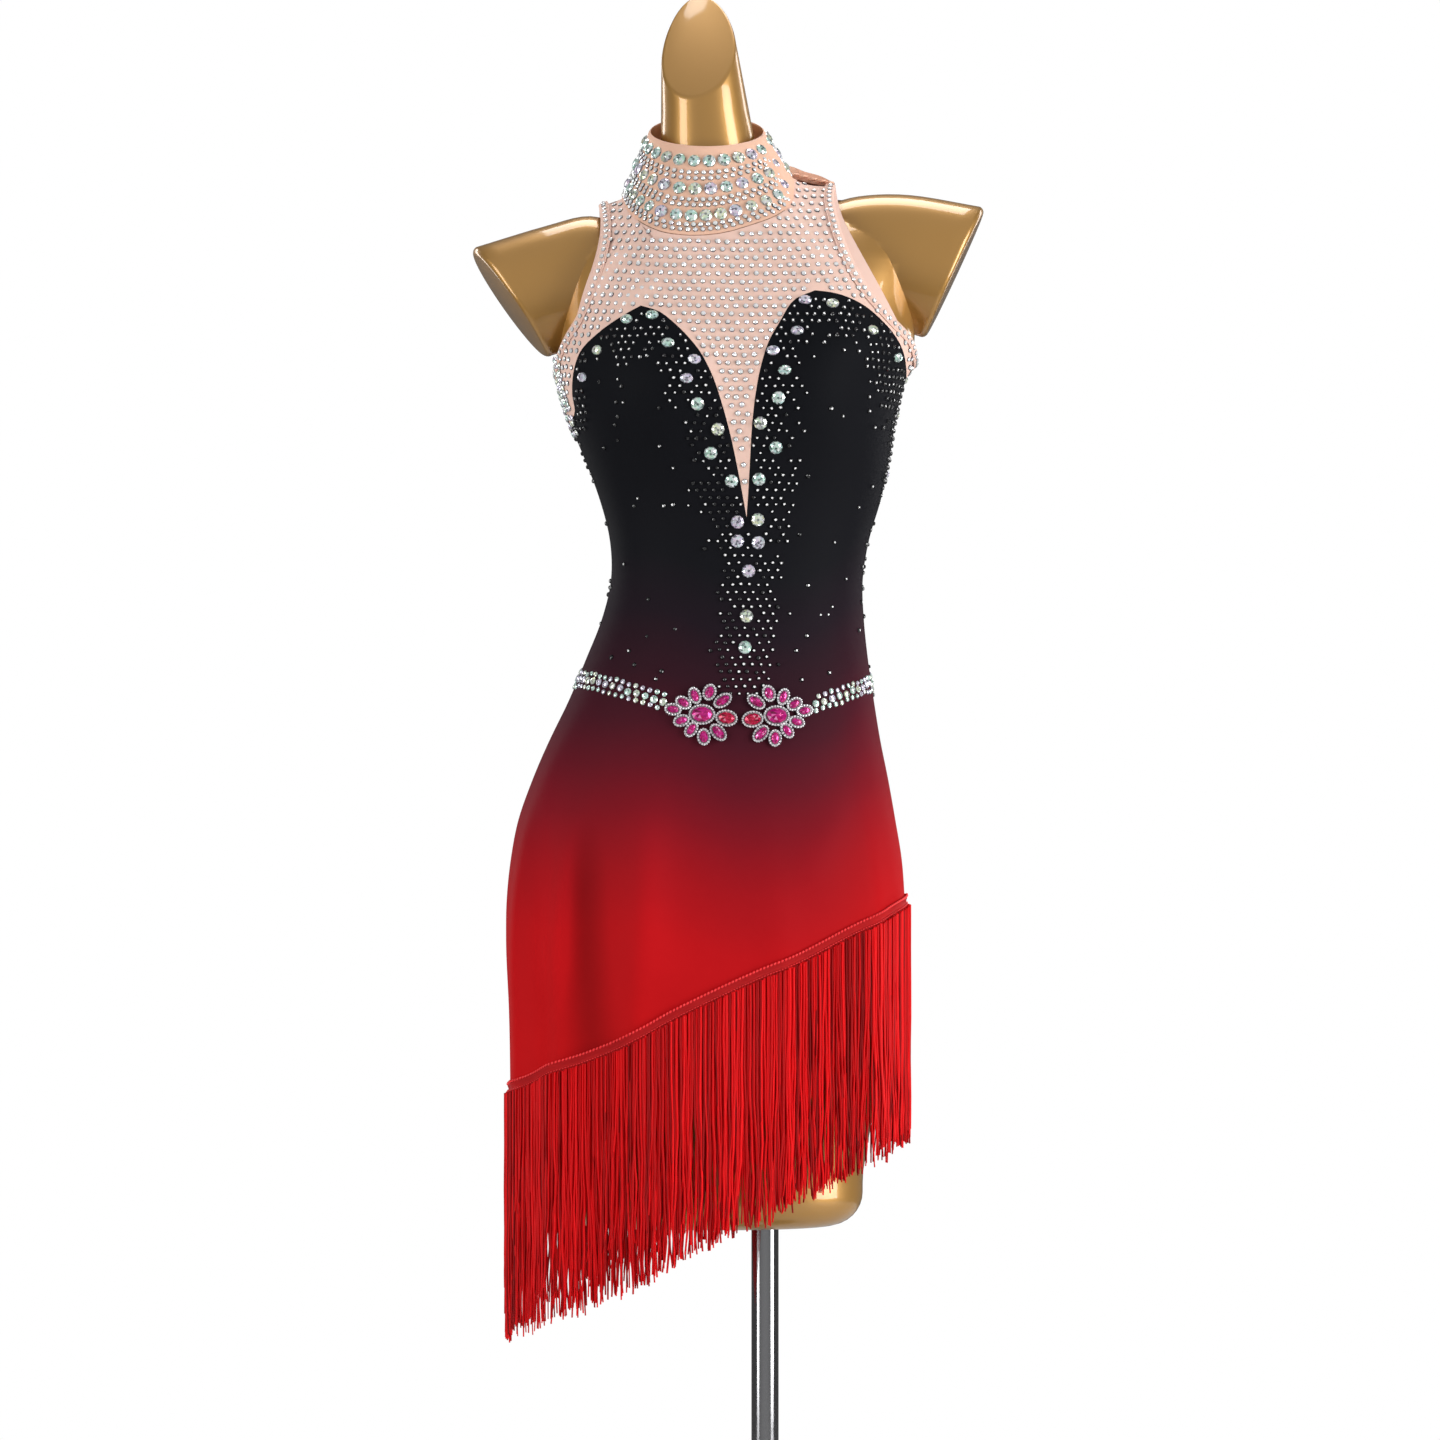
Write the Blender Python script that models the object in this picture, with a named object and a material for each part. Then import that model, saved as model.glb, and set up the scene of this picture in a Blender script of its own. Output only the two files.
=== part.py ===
"""A Latin dance dress with a slanted fringe hem, worn by a limbless dress form on a pole and a round base.

Metres, +Z up. The origin is the centre of the base's underside, the pole stands on the Z axis, and the
front of the dress faces -Y. A place on the cloth is an angle round the figure (0 at the centre front,
90 at +X, 180 at the back) and a height, and every piece of cloth is made from such places.
"""
import math
from collections import namedtuple

import bmesh
import bpy
import numpy as np
from mathutils import Vector
from mathutils.bvhtree import BVHTree

# Cloth and trim
WALL = 0.0012
SEAM_GAP = 0.0004
COLLAR_SEAM_GAP = 0.0025
TRIM_GAP = 0.0005
TRIM_WALL = 0.0012
BINDING_WIDTH = 0.0086
BINDING_GAP = 0.0026
BINDING_STAND = 0.0018
TAPE_HEIGHT = 0.013
TAPE_WALL = 0.0016
CLOTH_UNDER_TAPE = 0.010
LOCKS = 42
LOCK_LENGTH = 0.2010
LOCK_TAPER = 0.030
LOCK_TAPER_START_X = -0.208
LOCK_SEGMENTS = 2
LOCK_TIP_WIDTH = 0.45
LOCK_SWAY = 0.0022

# Colours of the solids
BLACK_CLOTH = (0.012, 0.010, 0.014)
NUDE_MESH = (0.72, 0.48, 0.38)
BINDING_CLOTH = (0.78, 0.52, 0.42)
COLLAR_CLOTH = (0.80, 0.52, 0.40)
BUTTON_CLOTH = (0.78, 0.55, 0.45)
FRINGE_RED = (0.75, 0.01, 0.02)
CLEAR_STONE = (0.80, 0.84, 0.88)
RUBY = (0.55, 0.06, 0.16)
GOLD = (0.50, 0.30, 0.09)
DARK_CHROME = (0.10, 0.10, 0.11)

# The figure under the cloth
SHOULDER_ROUND = 0.080
BUST_HEIGHT = 1.232
BUST_RISE = 0.025
BUST_SPREAD_ACROSS = 0.050
BUST_SPREAD_UP = 0.046
BUST_CENTRES = (-0.0985, 0.0545)

# The dress form
FORM_SIDES = 32
FORM_BOTTOM = 0.517
FORM_EDGE_ROUND = 0.028
FORM_TOP_RING = 1.452
NECK_CUT_HEIGHT = 1.531
NECK_CUT_ACROSS = 0.40
NECK_CUT_BACK = 1.26

# The stand
BASE_RADIUS = 0.180
BASE_HEIGHT = 0.012
BASE_BEVEL = 0.004
BASE_FOOT_BEVEL = 0.002
HUB_RADIUS = 0.030
HUB_TOP = 0.034
HUB_BEVEL = 0.006
POLE_RADIUS = 0.0117
SEAT_GAP = 0.0003
SEAT_START = 0.005
SEAT_REACH = 0.020

# Stones
COLLAR_STONES = 28
COLLAR_STONE_RISE = 0.0022
COLLAR_LAP_ANGLE = 14.0
COLLAR_LAP_RISE = 0.0022
CUP_STONE_RADIUS = 0.0055
CUP_STONE_TABLE_RADIUS = 0.0030
CUP_STONE_HEIGHT = 0.0040
STONE_SEAT_GAP = 0.0004
BUTTON_SEAT_GAP = 0.0008
BELT_WIDTH = 0.009
BELT_STONE_RISE = 0.0022
BELT_LEFT_STONES = 11
BELT_RIGHT_STONES = 9
BELT_BACK_STONES = 30
BUTTON_RADIUS = 0.0036

# A section of the clothed figure: its reach to -X and +X, its depth before and behind, and its squareness
Section = namedtuple("Section", "z left right front back square")
FIGURE = (
    Section(0.600, -0.2185, 0.1200, 0.097, 0.104, 2.3),
    Section(0.700, -0.2200, 0.1205, 0.099, 0.109, 2.3),
    Section(0.761, -0.2225, 0.1210, 0.100, 0.113, 2.3),
    Section(0.795, -0.2220, 0.1200, 0.101, 0.115, 2.3),
    Section(0.830, -0.2185, 0.1175, 0.101, 0.116, 2.3),
    Section(0.864, -0.2120, 0.1120, 0.100, 0.114, 2.3),
    Section(0.898, -0.2000, 0.1060, 0.099, 0.109, 2.25),
    Section(0.933, -0.1850, 0.0990, 0.097, 0.101, 2.2),
    Section(0.967, -0.1685, 0.0935, 0.094, 0.092, 2.2),
    Section(1.002, -0.1540, 0.0885, 0.090, 0.084, 2.15),
    Section(1.036, -0.1405, 0.0850, 0.086, 0.078, 2.15),
    Section(1.070, -0.1325, 0.0840, 0.083, 0.075, 2.15),
    Section(1.105, -0.1335, 0.0895, 0.084, 0.077, 2.2),
    Section(1.139, -0.1420, 0.0995, 0.087, 0.082, 2.2),
    Section(1.174, -0.1550, 0.1070, 0.091, 0.088, 2.3),
    Section(1.208, -0.1690, 0.1125, 0.095, 0.093, 2.35),
    Section(1.242, -0.1785, 0.1210, 0.096, 0.096, 2.4),
    Section(1.262, -0.1805, 0.1310, 0.095, 0.097, 2.4),
    Section(1.290, -0.1830, 0.1335, 0.090, 0.097, 2.4),
    Section(1.330, -0.1835, 0.1345, 0.083, 0.092, 2.4),
    Section(1.360, -0.1835, 0.1350, 0.075, 0.084, 2.4),
    Section(1.400, -0.1835, 0.1355, 0.056, 0.065, 2.4),
    Section(1.440, -0.1835, 0.1360, 0.040, 0.048, 2.4),
)

# The top of the figure seen from the front, over both shoulders and the root of the neck
Spot = namedtuple("Spot", "x z")
SHOULDER_LINE = (
    Spot(-0.260, 1.352), Spot(-0.204, 1.380), Spot(-0.1425, 1.391), Spot(-0.123, 1.398),
    Spot(-0.105, 1.415), Spot(-0.090, 1.447), Spot(-0.050, 1.500), Spot(-0.012, 1.460),
    Spot(0.006, 1.432), Spot(0.023, 1.416), Spot(0.0605, 1.408), Spot(0.110, 1.407),
    Spot(0.190, 1.395),
)

# Soft folds of the skirt: where each crosses the hem, its lean, half width, rise and the height it fades at
Fold = namedtuple("Fold", "angle lean width rise top")
FOLD_FULL_HEIGHT = 0.72
FOLDS = (
    Fold(-62, 8, 7, 0.0045, 1.00),
    Fold(-38, 10, 6, 0.0050, 0.96),
    Fold(-14, 6, 5, 0.0030, 0.93),
    Fold(18, -4, 6, 0.0025, 0.95),
    Fold(50, -8, 7, 0.0035, 0.98),
    Fold(128, 6, 8, 0.0040, 0.98),
    Fold(158, 4, 7, 0.0035, 0.95),
    Fold(198, -4, 7, 0.0045, 0.96),
    Fold(236, -8, 8, 0.0050, 1.00),
)

# Edges of the front, as (x, z) seen from the front. A spot past the side lies on the side seam.
CUP_LEFT_OUTER = (
    Spot(-0.1690, 1.201), Spot(-0.1625, 1.210), Spot(-0.1640, 1.226), Spot(-0.1630, 1.242),
    Spot(-0.1570, 1.260), Spot(-0.1400, 1.276), Spot(-0.1200, 1.289), Spot(-0.1050, 1.297),
)
CUP_LEFT_INNER = (
    Spot(-0.1050, 1.297), Spot(-0.0895, 1.2915), Spot(-0.0777, 1.282), Spot(-0.0655, 1.2695),
    Spot(-0.0560, 1.2575), Spot(-0.0455, 1.2375), Spot(-0.0375, 1.2145), Spot(-0.0304, 1.189),
    Spot(-0.0240, 1.160), Spot(-0.0164, 1.1195),
)
CUP_RIGHT_INNER = (
    Spot(-0.0164, 1.1195), Spot(-0.0150, 1.140), Spot(-0.0138, 1.162), Spot(-0.0118, 1.197),
    Spot(-0.0088, 1.223), Spot(-0.0040, 1.247), Spot(0.0022, 1.266), Spot(0.0110, 1.282),
    Spot(0.0240, 1.302), Spot(0.0410, 1.310),
)
CUP_RIGHT_OUTER = (
    Spot(0.0410, 1.310), Spot(0.0580, 1.308), Spot(0.0830, 1.298), Spot(0.0960, 1.288),
    Spot(0.1070, 1.277), Spot(0.1160, 1.263), Spot(0.1200, 1.249), Spot(0.1215, 1.238),
)
ARMHOLE_LEFT = (
    Spot(-0.1800, 1.2475), Spot(-0.1780, 1.257), Spot(-0.1690, 1.2765), Spot(-0.1610, 1.288),
    Spot(-0.1500, 1.313), Spot(-0.1420, 1.339), Spot(-0.1390, 1.366), Spot(-0.1413, 1.384),
    Spot(-0.1425, 1.391),
)
SHOULDER_LEFT = (Spot(-0.1425, 1.391), Spot(-0.1230, 1.398))
NECK_FRONT = (
    Spot(-0.1230, 1.398), Spot(-0.1180, 1.3845), Spot(-0.1050, 1.370), Spot(-0.0910, 1.362),
    Spot(-0.0720, 1.358), Spot(-0.0530, 1.3575), Spot(-0.0340, 1.360), Spot(-0.0140, 1.366),
    Spot(0.0010, 1.3715), Spot(0.0110, 1.377), Spot(0.0200, 1.3855), Spot(0.0225, 1.401),
    Spot(0.0230, 1.416),
)
SHOULDER_RIGHT = (Spot(0.0230, 1.416), Spot(0.0420, 1.411), Spot(0.0605, 1.408))
ARMHOLE_RIGHT = (
    Spot(0.0605, 1.408), Spot(0.0585, 1.398), Spot(0.0610, 1.3735), Spot(0.0710, 1.342),
    Spot(0.0875, 1.312), Spot(0.1075, 1.290), Spot(0.1245, 1.273), Spot(0.1285, 1.264),
    Spot(0.1310, 1.257),
)
HEM_FRONT = (
    Spot(-0.2200, 0.637), Spot(-0.1790, 0.660), Spot(-0.1470, 0.6725), Spot(-0.1165, 0.6857),
    Spot(-0.0820, 0.7053), Spot(-0.0430, 0.7246), Spot(-0.0045, 0.7420), Spot(0.0310, 0.7567),
    Spot(0.0680, 0.7753), Spot(0.1010, 0.791), Spot(0.1210, 0.800),
)

# Edges of the back, from the wearer's left side (+X) to the other
BACK_EDGE = (
    Spot(0.1215, 1.238), Spot(0.0950, 1.222), Spot(0.0450, 1.190), Spot(0.0000, 1.168),
    Spot(-0.0260, 1.162), Spot(-0.0550, 1.165), Spot(-0.1050, 1.180), Spot(-0.1500, 1.196),
    Spot(-0.1690, 1.201),
)
ARMHOLE_BACK_RIGHT = (
    Spot(0.1310, 1.257), Spot(0.1275, 1.268), Spot(0.1120, 1.291), Spot(0.0900, 1.322),
    Spot(0.0710, 1.362), Spot(0.0605, 1.408),
)
NECK_BACK = (
    Spot(0.0230, 1.416), Spot(0.0190, 1.4165), Spot(0.0080, 1.422), Spot(-0.0150, 1.428),
    Spot(-0.0500, 1.430), Spot(-0.0780, 1.422), Spot(-0.1000, 1.4055), Spot(-0.1130, 1.3975),
    Spot(-0.1200, 1.3960), Spot(-0.1230, 1.398),
)
ARMHOLE_BACK_LEFT = (
    Spot(-0.1425, 1.391), Spot(-0.1430, 1.362), Spot(-0.1500, 1.325), Spot(-0.1630, 1.291),
    Spot(-0.1760, 1.262), Spot(-0.1800, 1.2475),
)
HEM_BACK = (
    Spot(0.1210, 0.800), Spot(0.0600, 0.772), Spot(-0.0100, 0.740), Spot(-0.0900, 0.700),
    Spot(-0.1600, 0.665), Spot(-0.2200, 0.637),
)

# How many columns of the grid each stretch of an edge takes
FRONT_COLUMNS = (9, 9, 9, 9)
YOKE_TOP_COLUMNS = (8, 1, 17, 2, 8)
BACK_YOKE_TOP_COLUMNS = (7, 2, 8, 1, 7)
FRONT_ROWS = 16
BACK_ROWS = 12
YOKE_ROWS = 8
BACK_YOKE_ROWS = 6
PANEL_CROWD = 1.25
YOKE_LEAN = 2.0
SHOULDER_CROWD_REACH = 0.020
CURVE_SAMPLES = 400

# How far the form lies inside the cloth, sideways and in depth, by height
Inset = namedtuple("Inset", "z across deep")
FORM_INSET = (
    Inset(0.560, 0.0360, 0.024),
    Inset(0.620, 0.0260, 0.016),
    Inset(0.700, 0.0140, 0.009),
    Inset(0.780, 0.0060, 0.0055),
    Inset(0.850, 0.0037, 0.0037),
    Inset(1.180, 0.0037, 0.0037),
    Inset(1.210, 0.0046, 0.0046),
    Inset(1.290, 0.0048, 0.0048),
    Inset(1.345, 0.0068, 0.0068),
    Inset(1.380, 0.0112, 0.0112),
    Inset(1.500, 0.0112, 0.0112),
)
FORM_HEIGHTS = (
    0.620, 0.700, 0.770, 0.825, 0.870, 0.915, 0.960, 1.010, 1.060, 1.105, 1.145, 1.180, 1.207, 1.232,
    1.257, 1.282, 1.310, 1.335, 1.356, 1.372, 1.383, 1.390, 1.396, 1.405, 1.416, 1.432,
)

# A slanted section of a shoulder stub: its top and its bottom seen from the front, half its depth, and how
# far its rear half leans to the side and drops, which turns the cut a little to the front
Slice = namedtuple("Slice", "top_x top_z bottom_x bottom_z deep lean drop")
STUB_LEFT = (
    Slice(-0.1150, 1.372, -0.1050, 1.285, 0.036, 0.0, 0.0),
    Slice(-0.1500, 1.383, -0.1300, 1.280, 0.042, -0.001, 0.0005),
    Slice(-0.1900, 1.374, -0.1550, 1.272, 0.045, -0.0025, 0.0015),
    Slice(-0.2490, 1.356, -0.1830, 1.264, 0.046, -0.005, 0.003),
)
STUB_RIGHT = (
    Slice(0.0450, 1.390, 0.0500, 1.300, 0.036, 0.0, 0.0),
    Slice(0.0800, 1.400, 0.0780, 1.298, 0.042, 0.0, 0.0),
    Slice(0.1250, 1.401, 0.1080, 1.288, 0.046, 0.001, 0.0005),
    Slice(0.1850, 1.391, 0.1330, 1.280, 0.047, 0.002, 0.001),
)
STUB_SIDES = 20
STUB_EDGE_ROUND = 0.005
STUB_ROUND_STEPS = (35, 90)

Ring = namedtuple("Ring", "z left right front back")
NECK = (
    Ring(1.360, -0.0910, 0.0000, 0.040, 0.042),
    Ring(1.430, -0.0900, -0.0055, 0.040, 0.042),
    Ring(1.470, -0.0894, -0.0130, 0.040, 0.041),
    Ring(1.510, -0.0892, -0.0205, 0.040, 0.041),
    Ring(1.580, -0.0890, -0.0345, 0.040, 0.041),
    Ring(1.600, -0.0889, -0.0385, 0.040, 0.041),
)
NECK_SIDES = 24

# The collar's upper rim
RIM_CENTRE_X = -0.0500
RIM_HALF_WIDTH = 0.0490
RIM_HALF_DEPTH = 0.0520
RIM_HEIGHT = 1.4565
RIM_SLOPE = 0.0205
COLLAR_ROWS = (0.0, 0.225, 0.375, 0.52, 0.675, 0.83, 1.0)
COLLAR_STONE_ROWS = (1, 3, 5)
COLLAR_START = 62.0

# Belt path and brooches, as (x, z) seen from the front
BELT_RIGHT_SIDE = (
    Spot(0.0390, 0.9630), Spot(0.0540, 0.9677), Spot(0.0757, 0.9754), Spot(0.0900, 0.9812),
)
BELT_LEFT_SIDE = (
    Spot(-0.1600, 0.9845), Spot(-0.1400, 0.9813), Spot(-0.1186, 0.9752), Spot(-0.0974, 0.9684),
    Spot(-0.0860, 0.9650),
)
BELT_BACK = (
    Spot(0.0915, 0.9830), Spot(0.0500, 0.9960), Spot(-0.0350, 1.0020), Spot(-0.1150, 0.9970),
    Spot(-0.1620, 0.9860),
)
BROOCH_CENTRES = (Spot(-0.0537, 0.9545), Spot(0.0082, 0.9535))
BROOCH_SIDES = 36
BROOCH_RINGS = (0.0, 0.30, 0.52, 0.76, 1.0)
BROOCH_GEM_RISE = (1.0, 0.55, 0.15, 0.0, 0.0)
BROOCH_PETAL_RISE = (0.0, 0.0, 0.55, 0.70, 0.0)
BROOCH_PETAL_FULLNESS = 0.6
BROOCH_NOTCH = 0.20
BROOCH_HEIGHT_SHARE = 0.92
BROOCH_REACH = 0.0290
BROOCH_PETALS = 9
BROOCH_THICKNESS = 0.0012
BROOCH_RISE = 0.0042

# Large stones along the cups and the V
STONES = (
    Spot(-0.1168, 1.2855), Spot(-0.0955, 1.2885), Spot(-0.1415, 1.2605), Spot(-0.1545, 1.2390),
    Spot(-0.0820, 1.2640), Spot(-0.0600, 1.2500), Spot(-0.0666, 1.2340), Spot(-0.0574, 1.2130),
    Spot(-0.0405, 1.1925), Spot(-0.0464, 1.1730), Spot(-0.0290, 1.1500), Spot(-0.0240, 1.1160),
    Spot(-0.0241, 1.1000), Spot(0.0325, 1.3015), Spot(0.0555, 1.2990), Spot(0.0894, 1.2775),
    Spot(0.1112, 1.2565), Spot(0.0258, 1.2745), Spot(0.0055, 1.2575), Spot(0.0152, 1.2410),
    Spot(0.0100, 1.2180), Spot(-0.0050, 1.1975), Spot(0.0080, 1.1775), Spot(-0.0062, 1.1515),
    Spot(-0.0070, 1.1180), Spot(-0.0066, 1.0988), Spot(-0.0147, 1.0750), Spot(-0.0165, 1.0370),
    Spot(-0.0178, 1.0108),
)

BUTTONS = (Spot(0.0290, 1.4140), Spot(0.0370, 1.4120), Spot(0.0450, 1.4100))


# Curves through tables

def smooth(rows, key, column, at):
    """One column of a table as a smooth curve of another column."""
    keys = np.array([getattr(row, key) for row in rows])
    values = np.array([getattr(row, column) for row in rows])
    slopes = np.gradient(values, keys)
    at = np.clip(np.asarray(at, dtype=float), keys[0], keys[-1])
    i = np.clip(np.searchsorted(keys, at) - 1, 0, len(keys) - 2)
    step = keys[i + 1] - keys[i]
    t = (at - keys[i]) / step
    return ((2 * t ** 3 - 3 * t ** 2 + 1) * values[i] + (t ** 3 - 2 * t ** 2 + t) * step * slopes[i]
            + (3 * t ** 2 - 2 * t ** 3) * values[i + 1] + (t ** 3 - t ** 2) * step * slopes[i + 1])


def straight(rows, key, column, at):
    """One column of a table in straight runs of another column."""
    return np.interp(at, [getattr(row, key) for row in rows], [getattr(row, column) for row in rows])


# The figure

def shoulder_height(x):
    return smooth(SHOULDER_LINE, "x", "z", x)


def half_span(z):
    left = smooth(FIGURE, "z", "left", z)
    right = smooth(FIGURE, "z", "right", z)
    return (left + right) / 2, (right - left) / 2


def figure_depth(x, z, front, across=0.0, deep=0.0):
    """Depth of the figure at a place seen from the front, less an inset sideways and in depth."""
    middle, half = half_span(z)
    u = np.clip((x - middle) / (half - across), -1, 1)
    square = smooth(FIGURE, "z", "square", z)
    flat = np.where(front, smooth(FIGURE, "z", "front", z), smooth(FIGURE, "z", "back", z)) - deep
    below = np.clip((shoulder_height(x) - deep - z) / SHOULDER_ROUND, 0, 1)
    over = np.sqrt(np.clip(1 - (1 - below) ** 2, 0, 1))
    depth = flat * (1 - np.abs(u) ** square) ** (1 / square)
    for centre in BUST_CENTRES:
        reach = ((x - centre) / BUST_SPREAD_ACROSS) ** 2 + ((z - BUST_HEIGHT) / BUST_SPREAD_UP) ** 2
        depth = depth + np.where(front, BUST_RISE * np.exp(-reach / 2) * (1 - u ** 4), 0.0)
    return depth * over


def fold_rise(angle, z):
    """How far the skirt's folds stand out at a place."""
    rise = np.zeros(np.broadcast(angle, z).shape)
    for fold in FOLDS:
        below = np.clip((fold.top - z) / (fold.top - FOLD_FULL_HEIGHT), 0, 1)
        off = (angle - fold.angle + fold.lean * below) / fold.width
        rise = rise + fold.rise * below ** 2 * (3 - 2 * below) * np.exp(-off ** 2)
    return rise


def on_figure(angle, z):
    """The clothed figure's outer surface at an angle and a height."""
    angle = np.asarray(angle, dtype=float)
    z = np.asarray(z, dtype=float)
    turn = np.radians(angle)
    front = np.cos(turn) >= 0
    middle, half = half_span(z)
    x = middle + half * np.sin(turn)
    depth = figure_depth(x, z, front)
    rise = fold_rise(angle, z)
    y = np.where(front, -depth, depth) - rise * np.cos(turn)
    return np.stack(np.broadcast_arrays(x + rise * np.sin(turn), y, z), axis=-1)


def outward(angle, z):
    """The direction straight out of the figure."""
    round_it = on_figure(angle + 0.5, z) - on_figure(angle - 0.5, z)
    up_it = on_figure(angle, z + 0.0008) - on_figure(angle, z - 0.0008)
    out = np.cross(round_it, up_it)
    return out / np.maximum(np.linalg.norm(out, axis=-1, keepdims=True), 1e-12)


def lifted(angle, z, lift):
    """Places on the figure, moved out by a distance."""
    return on_figure(angle, z) + outward(angle, z) * np.asarray(lift)[..., None]


def angle_of(x, z, front):
    middle, half = half_span(z)
    turn = np.degrees(np.arcsin(np.clip((x - middle) / half, -1, 1)))
    return turn if front else 180.0 - turn


def along(spots, columns, front):
    """Places evenly spaced on the cloth along the smooth curve through some spots, as x and z."""
    Step = namedtuple("Step", "s x z")
    steps = [Step(0.0, spots[0].x, spots[0].z)]
    for spot in spots[1:]:
        run = math.hypot(spot.x - steps[-1].x, spot.z - steps[-1].z)
        steps.append(Step(steps[-1].s + run, spot.x, spot.z))
    at = np.linspace(0.0, steps[-1].s, CURVE_SAMPLES)
    x, z = smooth(steps, "s", "x", at), smooth(steps, "s", "z", at)
    places = on_figure(angle_of(x, z, front), z)
    runs = np.concatenate([[0.0], np.cumsum(np.linalg.norm(np.diff(places, axis=0), axis=1))])
    even = np.linspace(0.0, runs[-1], columns + 1)
    return np.interp(even, runs, x), np.interp(even, runs, z)


def edge(stretches, columns, front):
    """An edge of a panel from its stretches, as angles and heights, one for each column."""
    angles = []
    heights = []
    for stretch, count in zip(stretches, columns):
        x, z = along(stretch, count, front)
        angle = angle_of(x, z, front)
        first = 1 if angles else 0
        angles.extend(angle[first:])
        heights.extend(z[first:])
    angles = np.array(angles)
    angles[0], angles[-1] = (-90.0, 90.0) if front else (90.0, 270.0)
    return angles, np.array(heights)


def moved_edge(angles, heights, distance):
    """An edge moved up the figure by a distance square to its own run, and further at a sharp corner."""
    places = on_figure(angles, heights)
    run = np.gradient(places, axis=0)
    steps = np.diff(places, axis=0)
    steps = steps / np.linalg.norm(steps, axis=-1, keepdims=True)
    opening = np.ones(len(places))
    opening[1:-1] = np.sqrt(np.clip((1 + np.sum(steps[1:] * steps[:-1], axis=-1)) / 2, 0.05, 1))
    distance = distance / opening
    side = np.cross(outward(angles, heights), run)
    side = side / np.linalg.norm(side, axis=-1, keepdims=True)
    round_it = on_figure(angles + 0.5, heights) - on_figure(angles - 0.5, heights)
    reach = np.linalg.norm(round_it, axis=-1)
    turn = np.sum(side * round_it, axis=-1) / reach ** 2
    turn[0] = 0.0
    turn[-1] = 0.0
    return angles + turn * distance, heights + side[:, 2] * distance


# Solids

def finish(name, bm, colour, roughness, metallic=0.0):
    bmesh.ops.recalc_face_normals(bm, faces=bm.faces)
    if bm.calc_volume(signed=True) < 0:
        bmesh.ops.reverse_faces(bm, faces=bm.faces)
    mesh = bpy.data.meshes.new(name)
    bm.to_mesh(mesh)
    bm.free()
    mesh.shade_smooth()
    mesh.set_sharp_from_angle(angle=math.radians(40))
    material = bpy.data.materials.new(name)
    material.use_nodes = True
    shader = material.node_tree.nodes["Principled BSDF"]
    shader.inputs["Base Color"].default_value = (*colour, 1.0)
    shader.inputs["Roughness"].default_value = roughness
    shader.inputs["Metallic"].default_value = metallic
    mesh.materials.append(material)
    piece = bpy.data.objects.new(name, mesh)
    part_collection().objects.link(piece)
    return piece


def part_collection():
    found = bpy.data.collections.get("dance_dress")
    if found is None:
        found = bpy.data.collections.new("dance_dress")
        bpy.context.scene.collection.children.link(found)
    return found


def in_grid_order(verts):
    return sorted(verts, key=lambda vert: (round(vert.co.y, 4), round(vert.co.x, 4)))


def wall_mesh(outer, inner):
    """A closed wall between two grids of places, with its outer and its inner points in grid order."""
    rows, columns = outer.shape[0] - 1, outer.shape[1] - 1
    bm = bmesh.new()
    bmesh.ops.create_grid(bm, x_segments=columns, y_segments=rows, size=1.0)
    outer_verts = in_grid_order(bm.verts)
    result = bmesh.ops.extrude_face_region(bm, geom=bm.faces[:], use_keep_orig=True)
    inner_verts = in_grid_order([item for item in result["geom"] if isinstance(item, bmesh.types.BMVert)])
    for verts, places in ((outer_verts, outer), (inner_verts, inner)):
        for vert, place in zip(verts, places.reshape(-1, 3)):
            vert.co = place
    return bm, outer_verts, inner_verts


def loft_mesh(rings):
    """A closed body through rings of places, with flat ends."""
    bm = bmesh.new()
    verts = [[bm.verts.new(place) for place in ring] for ring in rings]
    sides = len(rings[0])
    for low, high in zip(verts, verts[1:]):
        for i in range(sides):
            j = (i + 1) % sides
            bm.faces.new((low[i], low[j], high[j], high[i]))
    bm.faces.new(list(reversed(verts[0])))
    bm.faces.new(verts[-1])
    return bm


def disc_rings(spots, sides, centre=(0.0, 0.0)):
    """Rings of a turned body from spots of radius and height."""
    turns = np.linspace(0, 2 * math.pi, sides, endpoint=False)
    return [np.stack([centre[0] + spot.x * np.cos(turns), centre[1] + spot.x * np.sin(turns),
                      np.full(sides, spot.z)], axis=-1) for spot in spots]


# Panels of cloth

def panel_grid(lower, upper, rows, crowd=1.0, lean=1.0):
    """Angles and heights between two edges. Rows crowd together where the upper edge tops a shoulder.

    A lean over 1 lets the columns leave the lower edge upright before they turn to the upper one.
    """
    middle, half = half_span(upper[1])
    x = middle + half * np.sin(np.radians(upper[0]))
    near_top = np.exp(-((shoulder_height(x) - upper[1]) / SHOULDER_CROWD_REACH) ** 2)
    t = 1 - (1 - np.linspace(0, 1, rows + 1)[:, None]) ** (crowd + near_top)
    return lower[0] + (upper[0] - lower[0]) * t ** lean, lower[1] + (upper[1] - lower[1]) * t


def kept_on_its_side(places, front):
    """Places that reach the side seam or the shoulder seam stop just short of it."""
    side = -1 if front else 1
    places[..., 1] = side * np.maximum(side * places[..., 1], SEAM_GAP / 2)
    return places


def panel(name, grid, front, colour):
    angles, heights = grid
    outer = kept_on_its_side(on_figure(angles, heights), front)
    inner = kept_on_its_side(lifted(angles, heights, np.full(angles.shape, -WALL)), front)
    bm = wall_mesh(outer, inner)[0]
    bmesh.ops.triangulate(bm, faces=bm.faces, quad_method="SHORT_EDGE")
    return finish(name, bm, colour, 0.75)


def hem_of_cloth(hem, columns, front):
    angles, heights = edge((hem,), (columns,), front)
    return angles, heights - CLOTH_UNDER_TAPE


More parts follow.
